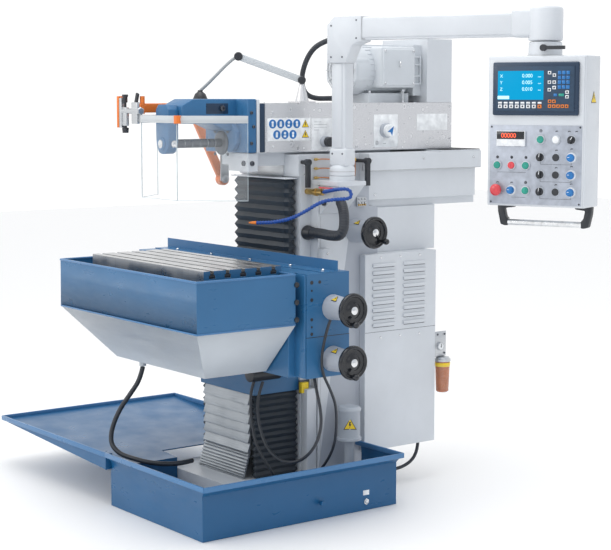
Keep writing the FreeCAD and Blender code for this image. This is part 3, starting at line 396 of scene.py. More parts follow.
cast_from("column_casting", "white_cast", 4.0)
cast_from("rear_enclosure", "white", 2.5)
cast_from("ram_body", "white_cast", 2.5)
cast_from("belt_cover", "white", 5.0)
cast_from("ram_covers", "swirl", 1.2)
cast_from("knee_casting", "blue_cast", 4.0)
cast_from("cross_slide_housing", "blue", 3.0)
cast_from("wheel_hubs", "hub", 2.0)
# The chip tray gets the darker copy of the enamel blue, which is painted shade.
cast_from("chip_tray", "blue_tray_shaded", 1.2)
cast_from("splash_tray", "blue", 1.2)
cast_from("slide_plate", "blue", 2.0)
cast_from("angle_table", "iron", 1.0)
cast_from("coolant_pump", "pump", 3.0)
cast_from("coolant_valve", "brass", 0.8)
cast_from("valve_lever", "red", 1.2)
cast_from("motor", "motor", 3.0)
cast_from("spindle", "steel", 0.8)
cast_from("z_ballscrew", "steel", 0.0)
for name in ("clamp_lever_front", "clamp_lever_rear", "pendant_lever"):
    cast_from(name, "black", 3.0, 3)

# ---- Cords and hoses ---------------------------------------------------------------

ROUTES = {
    "coolant_hose": (14, "hose_blue", [
        (292, 28, 1154), (340, 14, 1161), (388, 10, 1169), (430, 40, 1173), (431, 48, 1137),
        (402, 2, 1135), (372, -42, 1128), (330, -70, 1097), (280, -104, 1064),
        (224, -136, 1049), (176, -165, 1044), (130, -190, 1043)]),
    "lower_conduit": (38, "cable", [
        (198, 30, 1000), (262, 30, 1004), (334, 25, 998), (412, 26, 1004), (392, 46, 1094),
        (330, 76, 1118)]),
    "upper_conduit": (20, "cable", [
        (238, 92, 1702), (192, 78, 1690), (134, 76, 1650), (64, 100, 1588), (34, 122, 1534),
        (18, 158, 1502), (18, 206, 1490), (26, 262, 1492), (24, 318, 1490)]),
    "rear_cable": (13, "cable", [
        (215, 556, 157), (215, 554, 118), (214, 528, 78), (213, 480, 58), (212, 424, 54),
        (212, 376, 58), (212, 341, 63)]),
    "x_drive_cable": (10, "cable", [
        (604, -182, 740), (600, -190, 716), (584, -194, 662), (574, -198, 604),
        (566, -186, 548), (550, -142, 489), (520, -92, 424), (484, -60, 342),
        (444, -38, 252), (392, -34, 184), (338, -36, 130), (300, -44, 92), (262, -60, 70)]),
    "feed_cable_left": (11, "cable", [
        (196, -216, 472), (186, -222, 440), (188, -226, 396), (196, -230, 344),
        (214, -234, 288), (240, -234, 238), (270, -226, 196), (292, -206, 152),
        (290, -186, 112), (269, -175, 86)]),
    "feed_cable_right": (11, "cable", [
        (212, -188, 469), (206, -196, 440), (202, -206, 396), (218, -215, 340),
        (246, -220, 286), (288, -220, 234), (348, -215, 208), (417, -205, 207),
        (490, -200, 241), (546, -195, 300), (566, -190, 367), (556, -188, 428),
        (529, -185, 486), (512, -182, 529)]),
    "hopper_hose": (18, "cable", [
        (-195, -450, 494), (-206, -456, 446), (-244, -472, 392), (-284, -500, 326),
        (-304, -524, 252), (-290, -538, 198), (-236, -534, 168), (-170, -512, 158),
        (-104, -480, 150), (-58, -432, 146), (-34, -378, 148), (-40, -332, 150)]),
}


def centreline(name, route):
    """Points along a route's smooth line, in metres, from its points in millimetres."""
    curve = bpy.data.curves.new(name, "CURVE")
    curve.dimensions = "3D"
    curve.resolution_u = 14
    spline = curve.splines.new("NURBS")
    spline.points.add(len(route) - 1)
    for point, spot in zip(spline.points, route):
        point.co = (*(c * MM for c in spot), 1)
    spline.order_u = 3
    spline.use_endpoint_u = True
    line = bpy.data.objects.new(name, curve)
    scene.collection.objects.link(line)
    data = bpy.data.meshes.new_from_object(line)
    bpy.data.objects.remove(line)
    points = [v.co.copy() for v in data.vertices]
    bpy.data.meshes.remove(data)
    return points


def evenly(points, step):
    """The same line with its points a fixed step apart."""
    spaced, left = [points[0]], step
    for start, end in zip(points, points[1:]):
        run = (end - start).length
        while run >= left:
            start = start.lerp(end, left / run)
            spaced.append(start)
            run, left = (end - start).length, step
        left -= run
    if (spaced[-1] - points[-1]).length > step * 0.2:
        spaced.append(points[-1])
    return spaced


def tube(name, points, radii, material, sides=20):
    """A tube swept along points, with a radius for each one."""
    bm = bmesh.new()
    ahead = (points[1] - points[0]).normalized()
    side = ahead.orthogonal().normalized()
    rings = []
    for index, (point, radius) in enumerate(zip(points, radii)):
        if 0 < index < len(points) - 1:
            turned = (points[index + 1] - points[index - 1]).normalized()
        else:
            turned = ahead if index == 0 else (points[-1] - points[-2]).normalized()
        side = ahead.rotation_difference(turned) @ side
        ahead = turned
        other = ahead.cross(side)
        rings.append([bm.verts.new(point + (side * math.cos(a) + other * math.sin(a)) * radius)
                      for a in (2 * math.pi * k / sides for k in range(sides))])
    for low, high in zip(rings, rings[1:]):
        for k in range(sides):
            j = (k + 1) % sides
            bm.faces.new((low[k], low[j], high[j], high[k]))
    bm.faces.new(rings[0][::-1])
    bm.faces.new(rings[-1])
    data = bpy.data.meshes.new(name)
    bm.to_mesh(data)
    bm.free()
    made = placed(name, data, material)
    shade_by_angle(made, 60)
    return made


def ribbed(count, radius, depth, pitch):
    """Radii of a corrugated hose, pitch in steps."""
    return [radius - depth * (0.5 - 0.5 * math.cos(2 * math.pi * k / pitch))
            for k in range(count)]


for name in ("rear_cable", "x_drive_cable", "feed_cable_left", "feed_cable_right"):
    diameter, coat, route = ROUTES[name]
    points = evenly(centreline(name, route), 0.006)
    piece = tube(name + "_jacket", points, [diameter / 2 * MM] * len(points), coat)
    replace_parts(piece, name)
    if name == "rear_cable":
        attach(piece, ROOT)
    elif name == "feed_cable_right":
        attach(piece, "knee")
        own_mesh(piece)
    else:
        low = 0.09 if name == "x_drive_cable" else 0.10
        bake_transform(piece)

for name, step, depth, sides, stiffness in (("lower_conduit", 0.0022, 0.0018, 28, "stiff"),
                                            ("upper_conduit", 0.0016, 0.0011, 20, "medium")):
    diameter, coat, route = ROUTES[name]
    points = evenly(centreline(name, route), step)
    radii = ribbed(len(points), diameter / 2 * MM, depth, 4)
    piece = tube(name + "_ribs", points, radii, coat, sides)
    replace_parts(piece, name)
    if name == "lower_conduit":
        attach(piece, ROOT)
    else:
        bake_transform(piece)

diameter, coat, route = ROUTES["hopper_hose"]
points = evenly(centreline("hopper_hose", route), 0.004)
KNEE_PART = 0.43
split = next(k for k, point in enumerate(points) if point.z < KNEE_PART)
lower_run = points[split:]
for part, run, bodies, ends in (
        ("upper", points[:split + 1], ("knee", "table"), (KNEE_PART, 0.490)),
        ("lower", lower_run, (ROOT, "knee"), (0.146, KNEE_PART))):
    piece = tube("hopper_hose_" + part, run, [0.009] * len(run), coat)
    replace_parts(piece, "hopper_hose")
    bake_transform(piece)

# The coolant line is a string of ball-and-socket segments with a conical nozzle.
diameter, coat, route = ROUTES["coolant_hose"]
points = evenly(centreline("coolant_hose", route), 0.0014)
nozzle_start = len(points) - 24
segment = [0.70, 0.84, 0.96, 1.0, 1.0, 0.98, 0.88, 0.72]
radii = [0.007 * segment[k % 8] for k in range(nozzle_start)]
run = points[:nozzle_start]
piece = tube("coolant_hose_segments", run, radii, coat, 24)
tip = [0.0064 - 0.0042 * max(0, k - 7) / 16 for k in range(len(points) - nozzle_start)]
nozzle = tube("coolant_nozzle", points[nozzle_start:], tip, "hose_orange", 24)
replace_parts(piece, "coolant_hose")
for part in (piece, nozzle):
    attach(part, ROOT)
    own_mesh(part)


# ---- Way covers --------------------------------------------------------------------


def pleats(piece, x, y, z, count, deep, chamfer=14):
    """A folded tube: rings of a chamfered rectangle, in and out by turns."""
    bm = bmesh.new()
    rings = []
    for step in range(2 * count + 1):
        inset = 0 if step % 2 else deep
        low_x, high_x, low_y, high_y = x[0] + inset, x[1] - inset, y[0] + inset, y[1] - inset
        c = chamfer - inset * 0.4
        corners = [(low_x + c, low_y), (high_x - c, low_y), (high_x, low_y + c),
                   (high_x, high_y - c), (high_x - c, high_y), (low_x + c, high_y),
                   (low_x, high_y - c), (low_x, low_y + c)]
        height = z[0] + (z[1] - z[0]) * step / (2 * count)
        sag = 0 if step % 2 else -1.2
        ring = []
        for (ax, ay), (bx, by) in zip(corners, corners[1:] + corners[:1]):
            long = math.hypot(bx - ax, by - ay) > 60
            parts = 8 if long else 1
            for k in range(parts):
                t = k / parts
                wave = 0.8 * math.sin(step * 1.7 + k * 2.1) if long and k else 0
                ring.append(bm.verts.new((ax + (bx - ax) * t, ay + (by - ay) * t,
                                          height + sag + wave)))
        rings.append(ring)
    for low, high in zip(rings, rings[1:]):
        for k in range(len(low)):
            j = (k + 1) % len(low)
            bm.faces.new((low[k], low[j], high[j], high[k]))
    bmesh.ops.recalc_face_normals(bm, faces=bm.faces[:])
    edges = [e for e in bm.edges if len(e.link_faces) == 2 and e.calc_face_angle(0) > 0.5]
    bmesh.ops.bevel(bm, geom=edges, offset=1.2, segments=2, affect="EDGES", profile=0.6)
    piece.add(bm, HERE)
    return piece


def bend_between(made):
    """Takes a finished piece off its body and bakes its placement into the mesh."""
    made.parent = None
    made.matrix_world = HERE
    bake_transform(made)


BELLOWS_FOOT, BELLOWS_TOP = 899.5, 1197.5
upper = pleats(Piece("upper_bellows_folds", ROOT, "rubber"), (-173, 174), (-57, -1),
               (BELLOWS_FOOT, BELLOWS_TOP), 9, 11).done(30)
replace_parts(upper, "upper_bellows")
bend_between(upper)
Piece("bellows_cap", ROOT, "white").box((-177, 177), (-60, -1), (1197.8, 1202), 1).done()
caps = Piece("bellows_cap_screws", ROOT, "chrome")
for x in (-160, -90, 0, 90, 160):
    caps.turn((x, -52, 1202), "z", [(0, 4), (1.6, 4), (2.4, 3)], 16)
caps.done()

APRON_FOOT, APRON_TOP = 101.5, 411.5
sides = Piece("side_bellows", ROOT, "rubber")
for x in ((148, 177), (-177, -148)):
    pleats(sides, x, (-198, -2), (APRON_FOOT, APRON_TOP), 13, 8, 5)
made = sides.done(30)
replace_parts(made, "lower_way_cover")
bend_between(made)

apron = Piece("apron_slats", ROOT, "apron")
levels = [APRON_TOP - 36 * k for k in range(6)]
levels += [195, 182, 170, 158, 147, 136, 126, 116, 108, APRON_FOOT]
for upper_z, lower_z in zip(levels, levels[1:]):
    flare = max(0, (200 - lower_z) * 0.30)
    above = max(0, (200 - upper_z) * 0.30)
    lean = 11 if lower_z > 194 else 5
    outline = [(-201 - above, upper_z), (-201 - lean - flare, lower_z + 3),
               (-201 - lean - flare, lower_z), (-199 - flare, lower_z), (-197 - above, upper_z)]
    facing = Matrix(((0, 0, 1, -148), (1, 0, 0, 0), (0, 1, 0, 0), (0, 0, 0, 1)))
    apron.prism(outline, 296, facing, 0)
bend_between(apron.done(20))

# ---- Post, boom and pendant --------------------------------------------------------

SWING = math.radians(22)
BOOM = Matrix.Translation((POST_X, POST_Y, 0)) @ Matrix.Rotation(SWING, 4, "Z")
PENDANT = BOOM @ Matrix.Translation((BOOM_REACH, 0, 0))
SIDE_ON = Matrix(((1, 0, 0, 0), (0, 0, -1, 0), (0, 1, 0, 0), (0, 0, 0, 1)))

boom = Piece("boom_and_post", "swivel_boom", "white", BOOM)
boom.turn((0, 0, 1211.3), "z", [(0, 44), (2, 46), (28, 46), (31, 44), (38, 38), (42, 33)], 64)
boom.box((-36, 36), (-36, 36), (1246, 1312), 9, segments=4)
boom.box((-30, 30), (-30, 30), (1300, 1640), 7, segments=4)
boom.box((-33, -27), (-16, 16), (1313, 1617), 1.5)
boom.box((-16, 16), (-33, -27), (1313, 1617), 1.5)
elbow = [(-44, 1618), (34, 1618), (42, 1640), (60, 1680), (84, 1692), (98, 1694), (98, 1785),
         (-14, 1785), (-44, 1756)]
boom.prism(elbow, 78, Matrix.Translation((0, 39, 0)) @ SIDE_ON, 5)
boom.box((90, 735), (-34, 34), (1704, 1780), 8, segments=4)
boom.box((110, 700), (-30, 30), (1700, 1706), 1.5)
boom.box((676, 790), (-43, 43), (1697, 1791), 12, segments=4)
boom.turn((BOOM_REACH, 0, 1684.4), "z", [(0, 54), (3, 57.5), (10, 58), (104, 58), (110, 55.5),
                                  (113.4, 50)], 72)
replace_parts(boom.done(40), "swivel_boom")
seams = Piece("boom_seams", "swivel_boom", "putty", BOOM)
seams.turn((0, 0, 1226), "z", [(0, 46.4), (2.4, 46.4)], 64)
seams.box((97.4, 99.0), (-36, 36), (1702, 1782), 0.3)
seams.box((-31, 31), (-31, 31), (1617, 1618.6), 0.3)
seams.done()
fixings = Piece("boom_screws", "swivel_boom", "dark_steel", BOOM)
for x, z in ((-22, 1292), (20, 1292)):
    fixings.turn((x, -36, z), "-y", [(0, 3.6), (0.8, 3.2)], 16)
for x, z in ((-26, 1640), (20, 1640), (-26, 1752), (78, 1770), (78, 1706)):
    fixings.turn((x, -39, z), "-y", [(0, 3.4), (1.4, 3.0), (1.4, 1.6), (0.6, 1.5)], 16)
fixings.turn((-44, 0, 1700), "-x", [(0, 7), (5, 7), (6, 5)], HEX)
fixings.done()


def on_pendant(name, coat, body="pendant_box"):
    return Piece(name, body, coat, PENDANT)


box = on_pendant("pendant_case", "white")
box.box((-176, 176), (-70, 55), (1130, 1634), 5, segments=3)
box.box((-170, 170), (-73, -68), (1134, 1630), 1.6)
box.turn((0, 0, 1633), "z", [(0, 60), (3, 57), (46, 56), (49, 50)], 64)
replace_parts(box.done(40), "pendant_box")
on_pendant("pendant_seams", "putty").turn(
    (0, 0, 1634), "z", [(0, 61.5), (3, 60.5)], 64).done()

on_pendant("control_plate", "panel_grey").box(
    (-165, 165), (-75.4, -72.6), (1137, 1403), 0.5).done()
dark = on_pendant("control_marks", "black")
for u, z in ((-159, 1397), (159, 1397), (-159, 1143), (159, 1143)):
    dark.turn((u, -75.4, z), "-y", [(0, 3.4), (0.9, 3.0), (0.9, 1.4), (0.3, 1.3)], 16)
for z in (1273, 1215, 1158):
    dark.box((20, 130), (-75.8, -75.3), (z, z + 0.9), 0)
    for u in (20, 130):
        dark.box((u - 0.5, u + 0.5), (-75.8, -75.3), (z, z + 8), 0)
dark.box((-136, -32), (-75.8, -75.3), (1244, 1244.9), 0)
dark.box((-84, -32), (-75.8, -75.3), (1160, 1160.9), 0)
for u, z in ((76, 1383), (120, 1383), (146, 1383), (130, 1325), (130, 1267), (130, 1209),
             (76, 1320), (76, 1262), (76, 1205), (-84, 1209), (-136, 1209)):
    dark.prism([(u - 5, z - 2), (u + 3, z + 1), (u + 5, z - 2), (u + 5, z + 3), (u - 2, z + 3)],
               0.5, Matrix.Translation((0, -75.3, 0)) @ SIDE_ON, 0)
for u, z in ((20, 1385), (-136, 1295), (-84, 1295), (-32, 1295), (-32, 1211)):
    dark.turn((u, -75.3, z), "-y", [(0, 5), (0.5, 5), (0.5, 3.8), (0.1, 3.8)], 24)
dark.done()

on_pendant("readout_case", "dark_blue").box(
    (-154, 154), (-85, -72), (1436, 1613), 9, segments=4).done()
on_pendant("readout_panel", "dark_blue").box(
    (-142, 142), (-87, -84), (1448, 1601), 2).done()
on_pendant("readout_panel_print", "panel_blue").box(
    (-139, 139), (-87.8, -86.5), (1451, 1598), 1).done()
on_pendant("readout_screen", "screen").box(
    (-133, 32), (-88.6, -87.2), (1488, 1584), 0.6).done()
keys = {"milky": [], "knob_blue": [], "hose_orange": [], "green": []}
for k in range(8):
    u = -123.7 + 20.4 * k
    keys["milky"].append((u, 1478, 14, 6))
    keys["hose_orange" if k == 7 else "milky"].append((u, 1466, 14, 12))
for u, z in ((53, 1577), (53, 1546), (53, 1521), (70, 1569), (70, 1546), (70, 1528),
             (115.8, 1513), (115.8, 1498)):
    keys["milky"].append((u, z, 12, 11))
for z in (1577, 1561, 1546, 1530):
    for u in (88.4, 103.3, 118.2):
        keys["knob_blue"].append((u, z, 12, 12))
keys["knob_blue"].append((74.5, 1504, 12, 9))
keys["green"].append((95.4, 1504, 19, 9))
for u, z in ((55, 1483), (70, 1483), (55, 1467), (70, 1467), (85, 1467), (100, 1467),
             (115, 1467)):
    keys["hose_orange"].append((u, z, 12, 11))
for coat, spots in keys.items():
    group = on_pendant("readout_keys_" + coat, coat)
    for u, z, wide, high in spots:
        group.box((u - wide / 2, u + wide / 2), (-89.6, -87.4), (z - high / 2, z + high / 2), 0.8)
    group.done()
symbols = on_pendant("readout_key_symbols", "black")
for coat in ("milky", "hose_orange"):
    for u, z, wide, high in keys[coat]:
        if high > 8:
            symbols.box((u - 3, u + 3), (-89.9, -89.5), (z - 3, z + 3), 0.2)
symbols.done()


def lettering(name, body, coat, text, size, matrix):
    """Flat generic figures, turned into a mesh."""
    font = bpy.data.curves.new(name + "_font", "FONT")
    font.body, font.size, font.extrude = text, size, 0.15
    source = bpy.data.objects.new(name + "_source", font)
    scene.collection.objects.link(source)
    data = bpy.data.meshes.new_from_object(source)
    bpy.data.objects.remove(source)
    data.transform(Matrix.Diagonal((MM, MM, MM, 1)) @ matrix)
    made = placed(name, data, coat)
    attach(made, body)
    return made


for row, (axis, number) in enumerate((("X", "0.000"), ("Y", "0.005"), ("Z", "0.010"))):
    z = 1562 - 22 * row
    for text, u, size in ((axis, -125, 15), (number, -45, 17), ("mm", 12, 7)):
        lettering("readout_%s_%s" % (axis, text.replace(".", "_")), "pendant_box", "cyan_glow",
                  text, size, PENDANT @ Matrix.Translation((u, -88.8, z)) @ SIDE_ON)
on_pendant("readout_label", "cyan_glow").box(
    (-133, -91), (-88.9, -88.4), (1490, 1501), 0).done()

on_pendant("tachometer_case", "milky").box(
    (-138, -34), (-84, -75), (1332, 1384), 2).done()
on_pendant("tachometer_window", "gloss_black").box(
    (-136, -36), (-85.2, -83.6), (1356, 1382), 1).done()
lettering("tachometer_digits", "pendant_box", "red_glow", "00000", 22,
          PENDANT @ Matrix.Translation((-120, -85.4, 1361)) @ SIDE_ON)

handle = on_pendant("pendant_handle_ends", "black")
for side in (-1, 1):
    curve = [(side * x, z) for x, z in ((112, 1130), (172, 1130), (170, 1104), (160, 1060),
                                        (146, 1056), (134, 1056), (134, 1080), (142, 1088),
                                        (148, 1116), (112, 1120))]
    if side < 0:
        curve = curve[::-1]
    handle.prism(curve, 26, Matrix.Translation((0, 33, 0)) @ SIDE_ON, 3.5)
handle.done()
on_pendant("pendant_handle_bar", "chrome").turn(
    (-136, 20, 1068), "x", [(0, 11), (272, 11)], FINE).done()


def control_ring(piece, u, z, radius=15.6, reach=6.0):
    piece.turn((u, -74, z), "-y", [(0, radius), (reach - 1, radius), (reach, radius - 1.2),
                                   (reach, radius - 3.2), (reach - 2, radius - 3.4)], FINE)


rings = on_pendant("control_rings", "hopper")
L1, L2, L3, R1, R2, R3 = -136, -84, -32, 20, 76, 130
TOP_ROW, LEFT_ROW, LOW_ROW = 1356, 1268, 1184
AXIS_ROWS = {"x": 1297, "y": 1239, "z": 1182}
PUSH = {"power_button": (R1, TOP_ROW, "green"), "light_button": (R2, TOP_ROW, "milky"),
        "reverse_button": (L1, LEFT_ROW, "green"), "stop_button": (L2, LEFT_ROW, "red"),
        "forward_button": (L3, LEFT_ROW, "green"), "coolant_button": (L3, LOW_ROW, "green")}
for name, (u, z, coat) in PUSH.items():
    control_ring(rings, u, z)
    cap = on_pendant(name + "_cap", coat, name)
    cap.turn((u, -64, z), "-y", [(0, 12.0), (19, 12.0), (20.4, 11.2), (20.9, 8), (20.6, 0.5)], FINE)
    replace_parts(cap.done(50), name)
for name, u, z in [("mode_selector", R3, TOP_ROW)] + [
        (axis + "_axis_selector", R1, row) for axis, row in AXIS_ROWS.items()]:
    control_ring(rings, u, z, 15, 4)
    knob = on_pendant(name + "_knob", "black", name)
    knob.turn((u, -70, z), "-y", [(0, 12.5), (6, 13.5), (13, 13.5), (14, 12.5)], FINE)
    lean = math.radians(35 if name == "mode_selector" else 8)
    turned = Matrix.Translation((u, 0, z)) @ Matrix.Rotation(lean, 4, "Y")
    knob.box((-5, 5), (-91, -82), (-13, 13), 2.4, turned, 3)
    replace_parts(knob.done(40), name)
    mark = on_pendant(name + "_pointer", "milky", name)
    mark.box((-0.9, 0.9), (-91.4, -90.6), (1, 12), 0, turned)
    mark.done()
rapid = on_pendant("rapid_button_caps", "black")
for z in AXIS_ROWS.values():
    control_ring(rings, R2, z, 13.5, 5)
    rapid.turn((R2, -74, z), "-y", [(0, 12.5), (6, 12.5), (7.4, 11.2), (7.6, 0.5)], FINE)
rapid.done()
for name, u, z in [("spindle_speed_knob", L2, LOW_ROW)] + [
        (axis + "_feed_knob", R3, row) for axis, row in AXIS_ROWS.items()]:
    skirt = on_pendant(name + "_skirt", "milky", name)
    skirt.turn((u, -72, z), "-y", [(0, 16.8), (3, 16.8), (9, 15.6), (10, 15)])
    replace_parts(skirt.done(40), name)
    cap = on_pendant(name + "_cap", "knob_blue", name)
    cap.turn((u, -81, z), "-y", [(0, 13.4), (9, 12.6), (11, 11.4), (11.4, 0.5)])
    cap.done(40)
    mark = on_pendant(name + "_pointer", "milky", name)
    mark.box((u - 8, u - 1), (-93.0, -92.2), (z + 1, z + 2.4), 0)
    mark.done()
    control_ring(rings, u, z, 18.2, 2.4)
control_ring(rings, L1, LOW_ROW, 13, 4)
rings.done(40)
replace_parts(on_pendant("emergency_stop_head", "red", "emergency_stop").turn(
    (L1, -66, LOW_ROW), "-y",
    [(0, 10), (16, 10), (17, 17), (20, 20), (25, 20), (29, 17.5), (31, 11), (31.4, 1)],
    48).done(50), "emergency_stop")


def axes(at, along, up):
    """A place whose X runs along one direction, with Z as near to up as it can be."""
    x = Vector(along).normalized()
    y = Vector(up).cross(x).normalized()
    z = x.cross(y)
    turned = Matrix((x, y, z)).transposed().to_4x4()
    return Matrix.Translation(Vector(at)) @ turned


def facing(at, normal, up=(0, 0, 1)):
    """A place whose XY plane faces a direction, with Y as near to up as it can be."""
    z = Vector(normal).normalized()
    x = Vector(up).cross(z).normalized()
    y = z.cross(x)
    return Matrix.Translation(Vector(at)) @ Matrix((x, y, z)).transposed().to_4x4()


def second_coat(made, coat, chosen):
    """Gives the faces that pass the test another finish; centres are in millimetres."""
    made.data.materials.append(M[coat])
    last = len(made.data.materials) - 1
    for face in made.data.polygons:
        if chosen(face.center / MM, face.normal):
            face.material_index = last


def loop(name, body, coat, at, axis, radius, thick, share=1.0, start=0.0):
    """A round bar bent into a ring or part of one."""
    turned = facing(at, axis)
    steps = 40
    points = [turned @ Vector((radius * math.cos(a), radius * math.sin(a), 0)) * MM
              for a in (start + 2 * math.pi * share * k / steps for k in range(steps + 1))]
    made = tube(name, points, [thick * MM] * len(points), coat, 14)
    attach(made, body)
    return made


def warning(name, body, at, normal, size=30, up=(0, 0, 1)):
    """A plain triangular caution sign with a flash."""
    place = facing(at, normal, up)
    for part, coat, scale, depth in (("edge", "black", 1.0, 0.5), ("field", "yellow", 0.84, 0.8)):
        tall = size * scale
        sign = Piece("%s_%s" % (name, part), body, coat, place)
        sign.prism([(-tall * 0.56, -tall * 0.36), (tall * 0.56, -tall * 0.36), (0, tall * 0.60)],
                   depth + 1.5, Matrix.Translation((0, 0, -1.5)), 0)
        sign.done()
    flash = Piece(name + "_flash", body, "black", place)
    s = size / 30
    flash.prism([(-2 * s, 9 * s), (2.6 * s, 9 * s), (0.4 * s, 3 * s), (3.4 * s, 3 * s),
                 (-2.4 * s, -8 * s), (-0.4 * s, -0.6 * s), (-3.4 * s, -0.6 * s)], 1.0, HERE, 0)
    flash.done()


# ---- Table, trays and knee ---------------------------------------------------------

second_coat(FINISHED["column_casting"], "hub",
            lambda c, n: c.x > 229 and math.hypot(c.y - 222, c.z - 1000) < 45.5)
second_coat(FINISHED["splash_tray"], "hopper", lambda c, n: c.z < 722.5)
second_coat(FINISHED["angle_table"], "blue", lambda c, n: abs(n.x) > 0.9 and c.z < 919)
# Black T-shaped fills at both table ends: painted shade inside the T-slot ends.
slot_shade = Piece("table_slot_shade", "table", "black")
for k in range(5):
    y = -440.15 + (k - 2) * 63
    for x in ((-294.5, -280), (440, 454.5)):
        slot_shade.box(x, (y - 11.5, y + 11.5), (894.5, 905.5), 1)
        slot_shade.box(x, (y - 6.5, y + 6.5), (905, 912), 1)
slot_shade.done()
studs = Piece("splash_tray_bolts", "table", "black")
for z in (862, 802, 742):
    studs.turn((536, -283, z), "x", [(0, 10), (14, 10), (15, 8)], HEX)
    studs.turn((-376, -283, z), "-x", [(0, 10), (14, 10), (15, 8)], HEX)
studs.done()
# The splash tray rims get the lighter blue, a painted highlight on their rounded edges.
rim = Piece("splash_rim", "table", "blue_rim_highlight")
for y in ((-689, -680), (-292, -286)):
    rim.box((-385, 545), y, (893, 901), 3, segments=3)
for x in ((-388, -379), (539, 548)):
    rim.box(x, (-688, -286), (893, 901), 3, segments=3)
rim.box((-385, 545), (-688.5, -684), (722, 728), 1.5)
rim.box((541, 547.5), (-688, -286), (722, 728), 1.5)
rim.done()
# The chip tray rim gets the lighter blue as well, a painted highlight.
lips = Piece("chip_tray_rim", ROOT, "blue_rim_highlight")
corners = [(-999, -639, 200), (-153, -639, 200), (508, -639, 200), (508, 233, 200),
           (-153, 233, 200)]
for start, end in zip(corners, corners[1:]):
    run = math.dist(start, end)
    lips.box((0, run), (-4, 5), (-17, 1.5), 2.5,
             axes(start, Vector(end) - Vector(start), (0, 0, 1)), 3)
lips.box((-1002, -994), (-639, 192), (183, 201.5), 2.5)
lips.box((-999, -160), (187, 194), (183, 201.5), 2.5)
lips.done()
Piece("chip_tray_gusset", ROOT, "blue_tray_shaded").box(
    (-157, -151), (-638.6, -611), (137, 196), 0.5).done()
Piece("tray_drain", ROOT, "chrome").turn(
    (462, 94, 32), "x", [(0, 12), (3, 12), (3, 8), (8, 8), (9, 6)], HEX).done()
Piece("tray_label", ROOT, "sticker_white").box((461.8, 462.6), (80, 108), (56, 74), 0.2).done()

# Dark discs on the knee end are painted shade inside its tapped holes; the thin dark lines are a
# seam.
hole_shade = Piece("knee_hole_shade_and_seams", "knee", "black")
for y, z, radius in ((-224, 866, 7), (-190, 866, 6), (-224, 838, 4), (-224, 806, 6.5),
                     (-224, 738, 6), (-224, 712, 4), (-224, 688, 6)):
    hole_shade.turn((553.4, y, z), "x", [(0, radius), (0.9, radius)], 24)
hole_shade.box((553.5, 554.3), (-246, -60), (675, 677), 0)
hole_shade.box((-554, 554), (-246.3, -245.6), (675, 677), 0)
hole_shade.done()
Piece("slide_plate_end_strip", "table", "blue").box(
    (493, 552), (-254, -246.6), (536, 893), 2).done()
studs = Piece("knee_studs", "knee", "chrome")
for x in (-420, -180, 80, 330, 520):
    studs.turn((x, -150, 899), "z", [(0, 6), (5, 6), (7, 4)], 24)
studs.done()
Piece("feed_motor_sleeve", "knee", "black").turn(
    (208, -248, 501), "y", [(0, 22), (2, 28.4), (128, 28.4), (134, 20)]).done()
Piece("limit_switch", ROOT, "yellow").box((189, 208), (-9, 24), (404, 444), 3).done()
plunger = Piece("limit_switch_bracket", ROOT, "dark_steel")
plunger.box((184, 190), (-7, 40), (398, 450), 1.5)
plunger.turn((198, 8, 404), "-z", [(0, 5), (10, 5), (13, 3)], 20)
plunger.done()

# ---- Handwheels --------------------------------------------------------------------

for name, face, y, z, holder, grip in (
        ("x_handwheel", KNEE_END, -135, 775, "knee", (-10, -45.5)),
        ("z_handwheel", KNEE_END, -135, 595, "knee", (-10, -45.5)),
        ("y_handwheel", 230, 222, 1000, ROOT, (33, -33))):
    plane = face + WHEEL_REACH
    wheel = Piece(name + "_rim", name, "gloss_black")
    wheel.turn((plane, y, z), "x", [
        (-14, 20), (-14, 26), (-9, 34), (-8, 47), (-11, 50), (-10, 56), (-5, 59.4), (3, 59.6),
        (8, 56), (9, 51), (6, 47), (1, 45), (0, 34), (2, 27), (5, 24), (6, 15)], 80)
    wheel.turn((plane - 4, y + grip[0], z + grip[1]), "x", [
        (0, 5), (18, 5), (20, 8), (24, 10.6), (31, 11.6), (38, 10.6), (43, 7), (45, 1)], FINE)
    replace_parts(wheel.done(50), name)
    trim = Piece(name + "_hub_cap", name, "chrome")
    trim.turn((plane, y, z), "x", [(5, 14), (8.5, 14), (9.5, 12.5), (9.2, 8), (9.8, 7), (9.8, 0.5)])
    trim.turn((face + 90, y, z), "x", [(0, 9.6), (14, 9.6)], FINE)
    trim.done(40)
    graduated = Piece(name + "_dial", holder, "plate")
    graduated.turn((face + 95, y, z), "x", [(0, 36), (0.8, 37), (5, 37), (6, 34)], 64)
    graduated.done(40)
    marks = Piece(name + "_dial_marks", holder, "black")
    for k in range(40):
        spin = Matrix.Translation((face + 95, y, z)) @ Matrix.Rotation(k * math.pi / 20, 4, "X")
        marks.box((1.5, 4.8 if k % 5 else 5.0), (-0.35, 0.35), (36.7, 37.25), 0, spin)
    marks.done()
    warning(name + "_caution", holder, (face + 47, y - 24.5, z + 34.5), (0.08, -0.57, 0.81), 25,
            (0, 0.81, 0.57))

# ---- Column, bed and enclosure -----------------------------------------------------

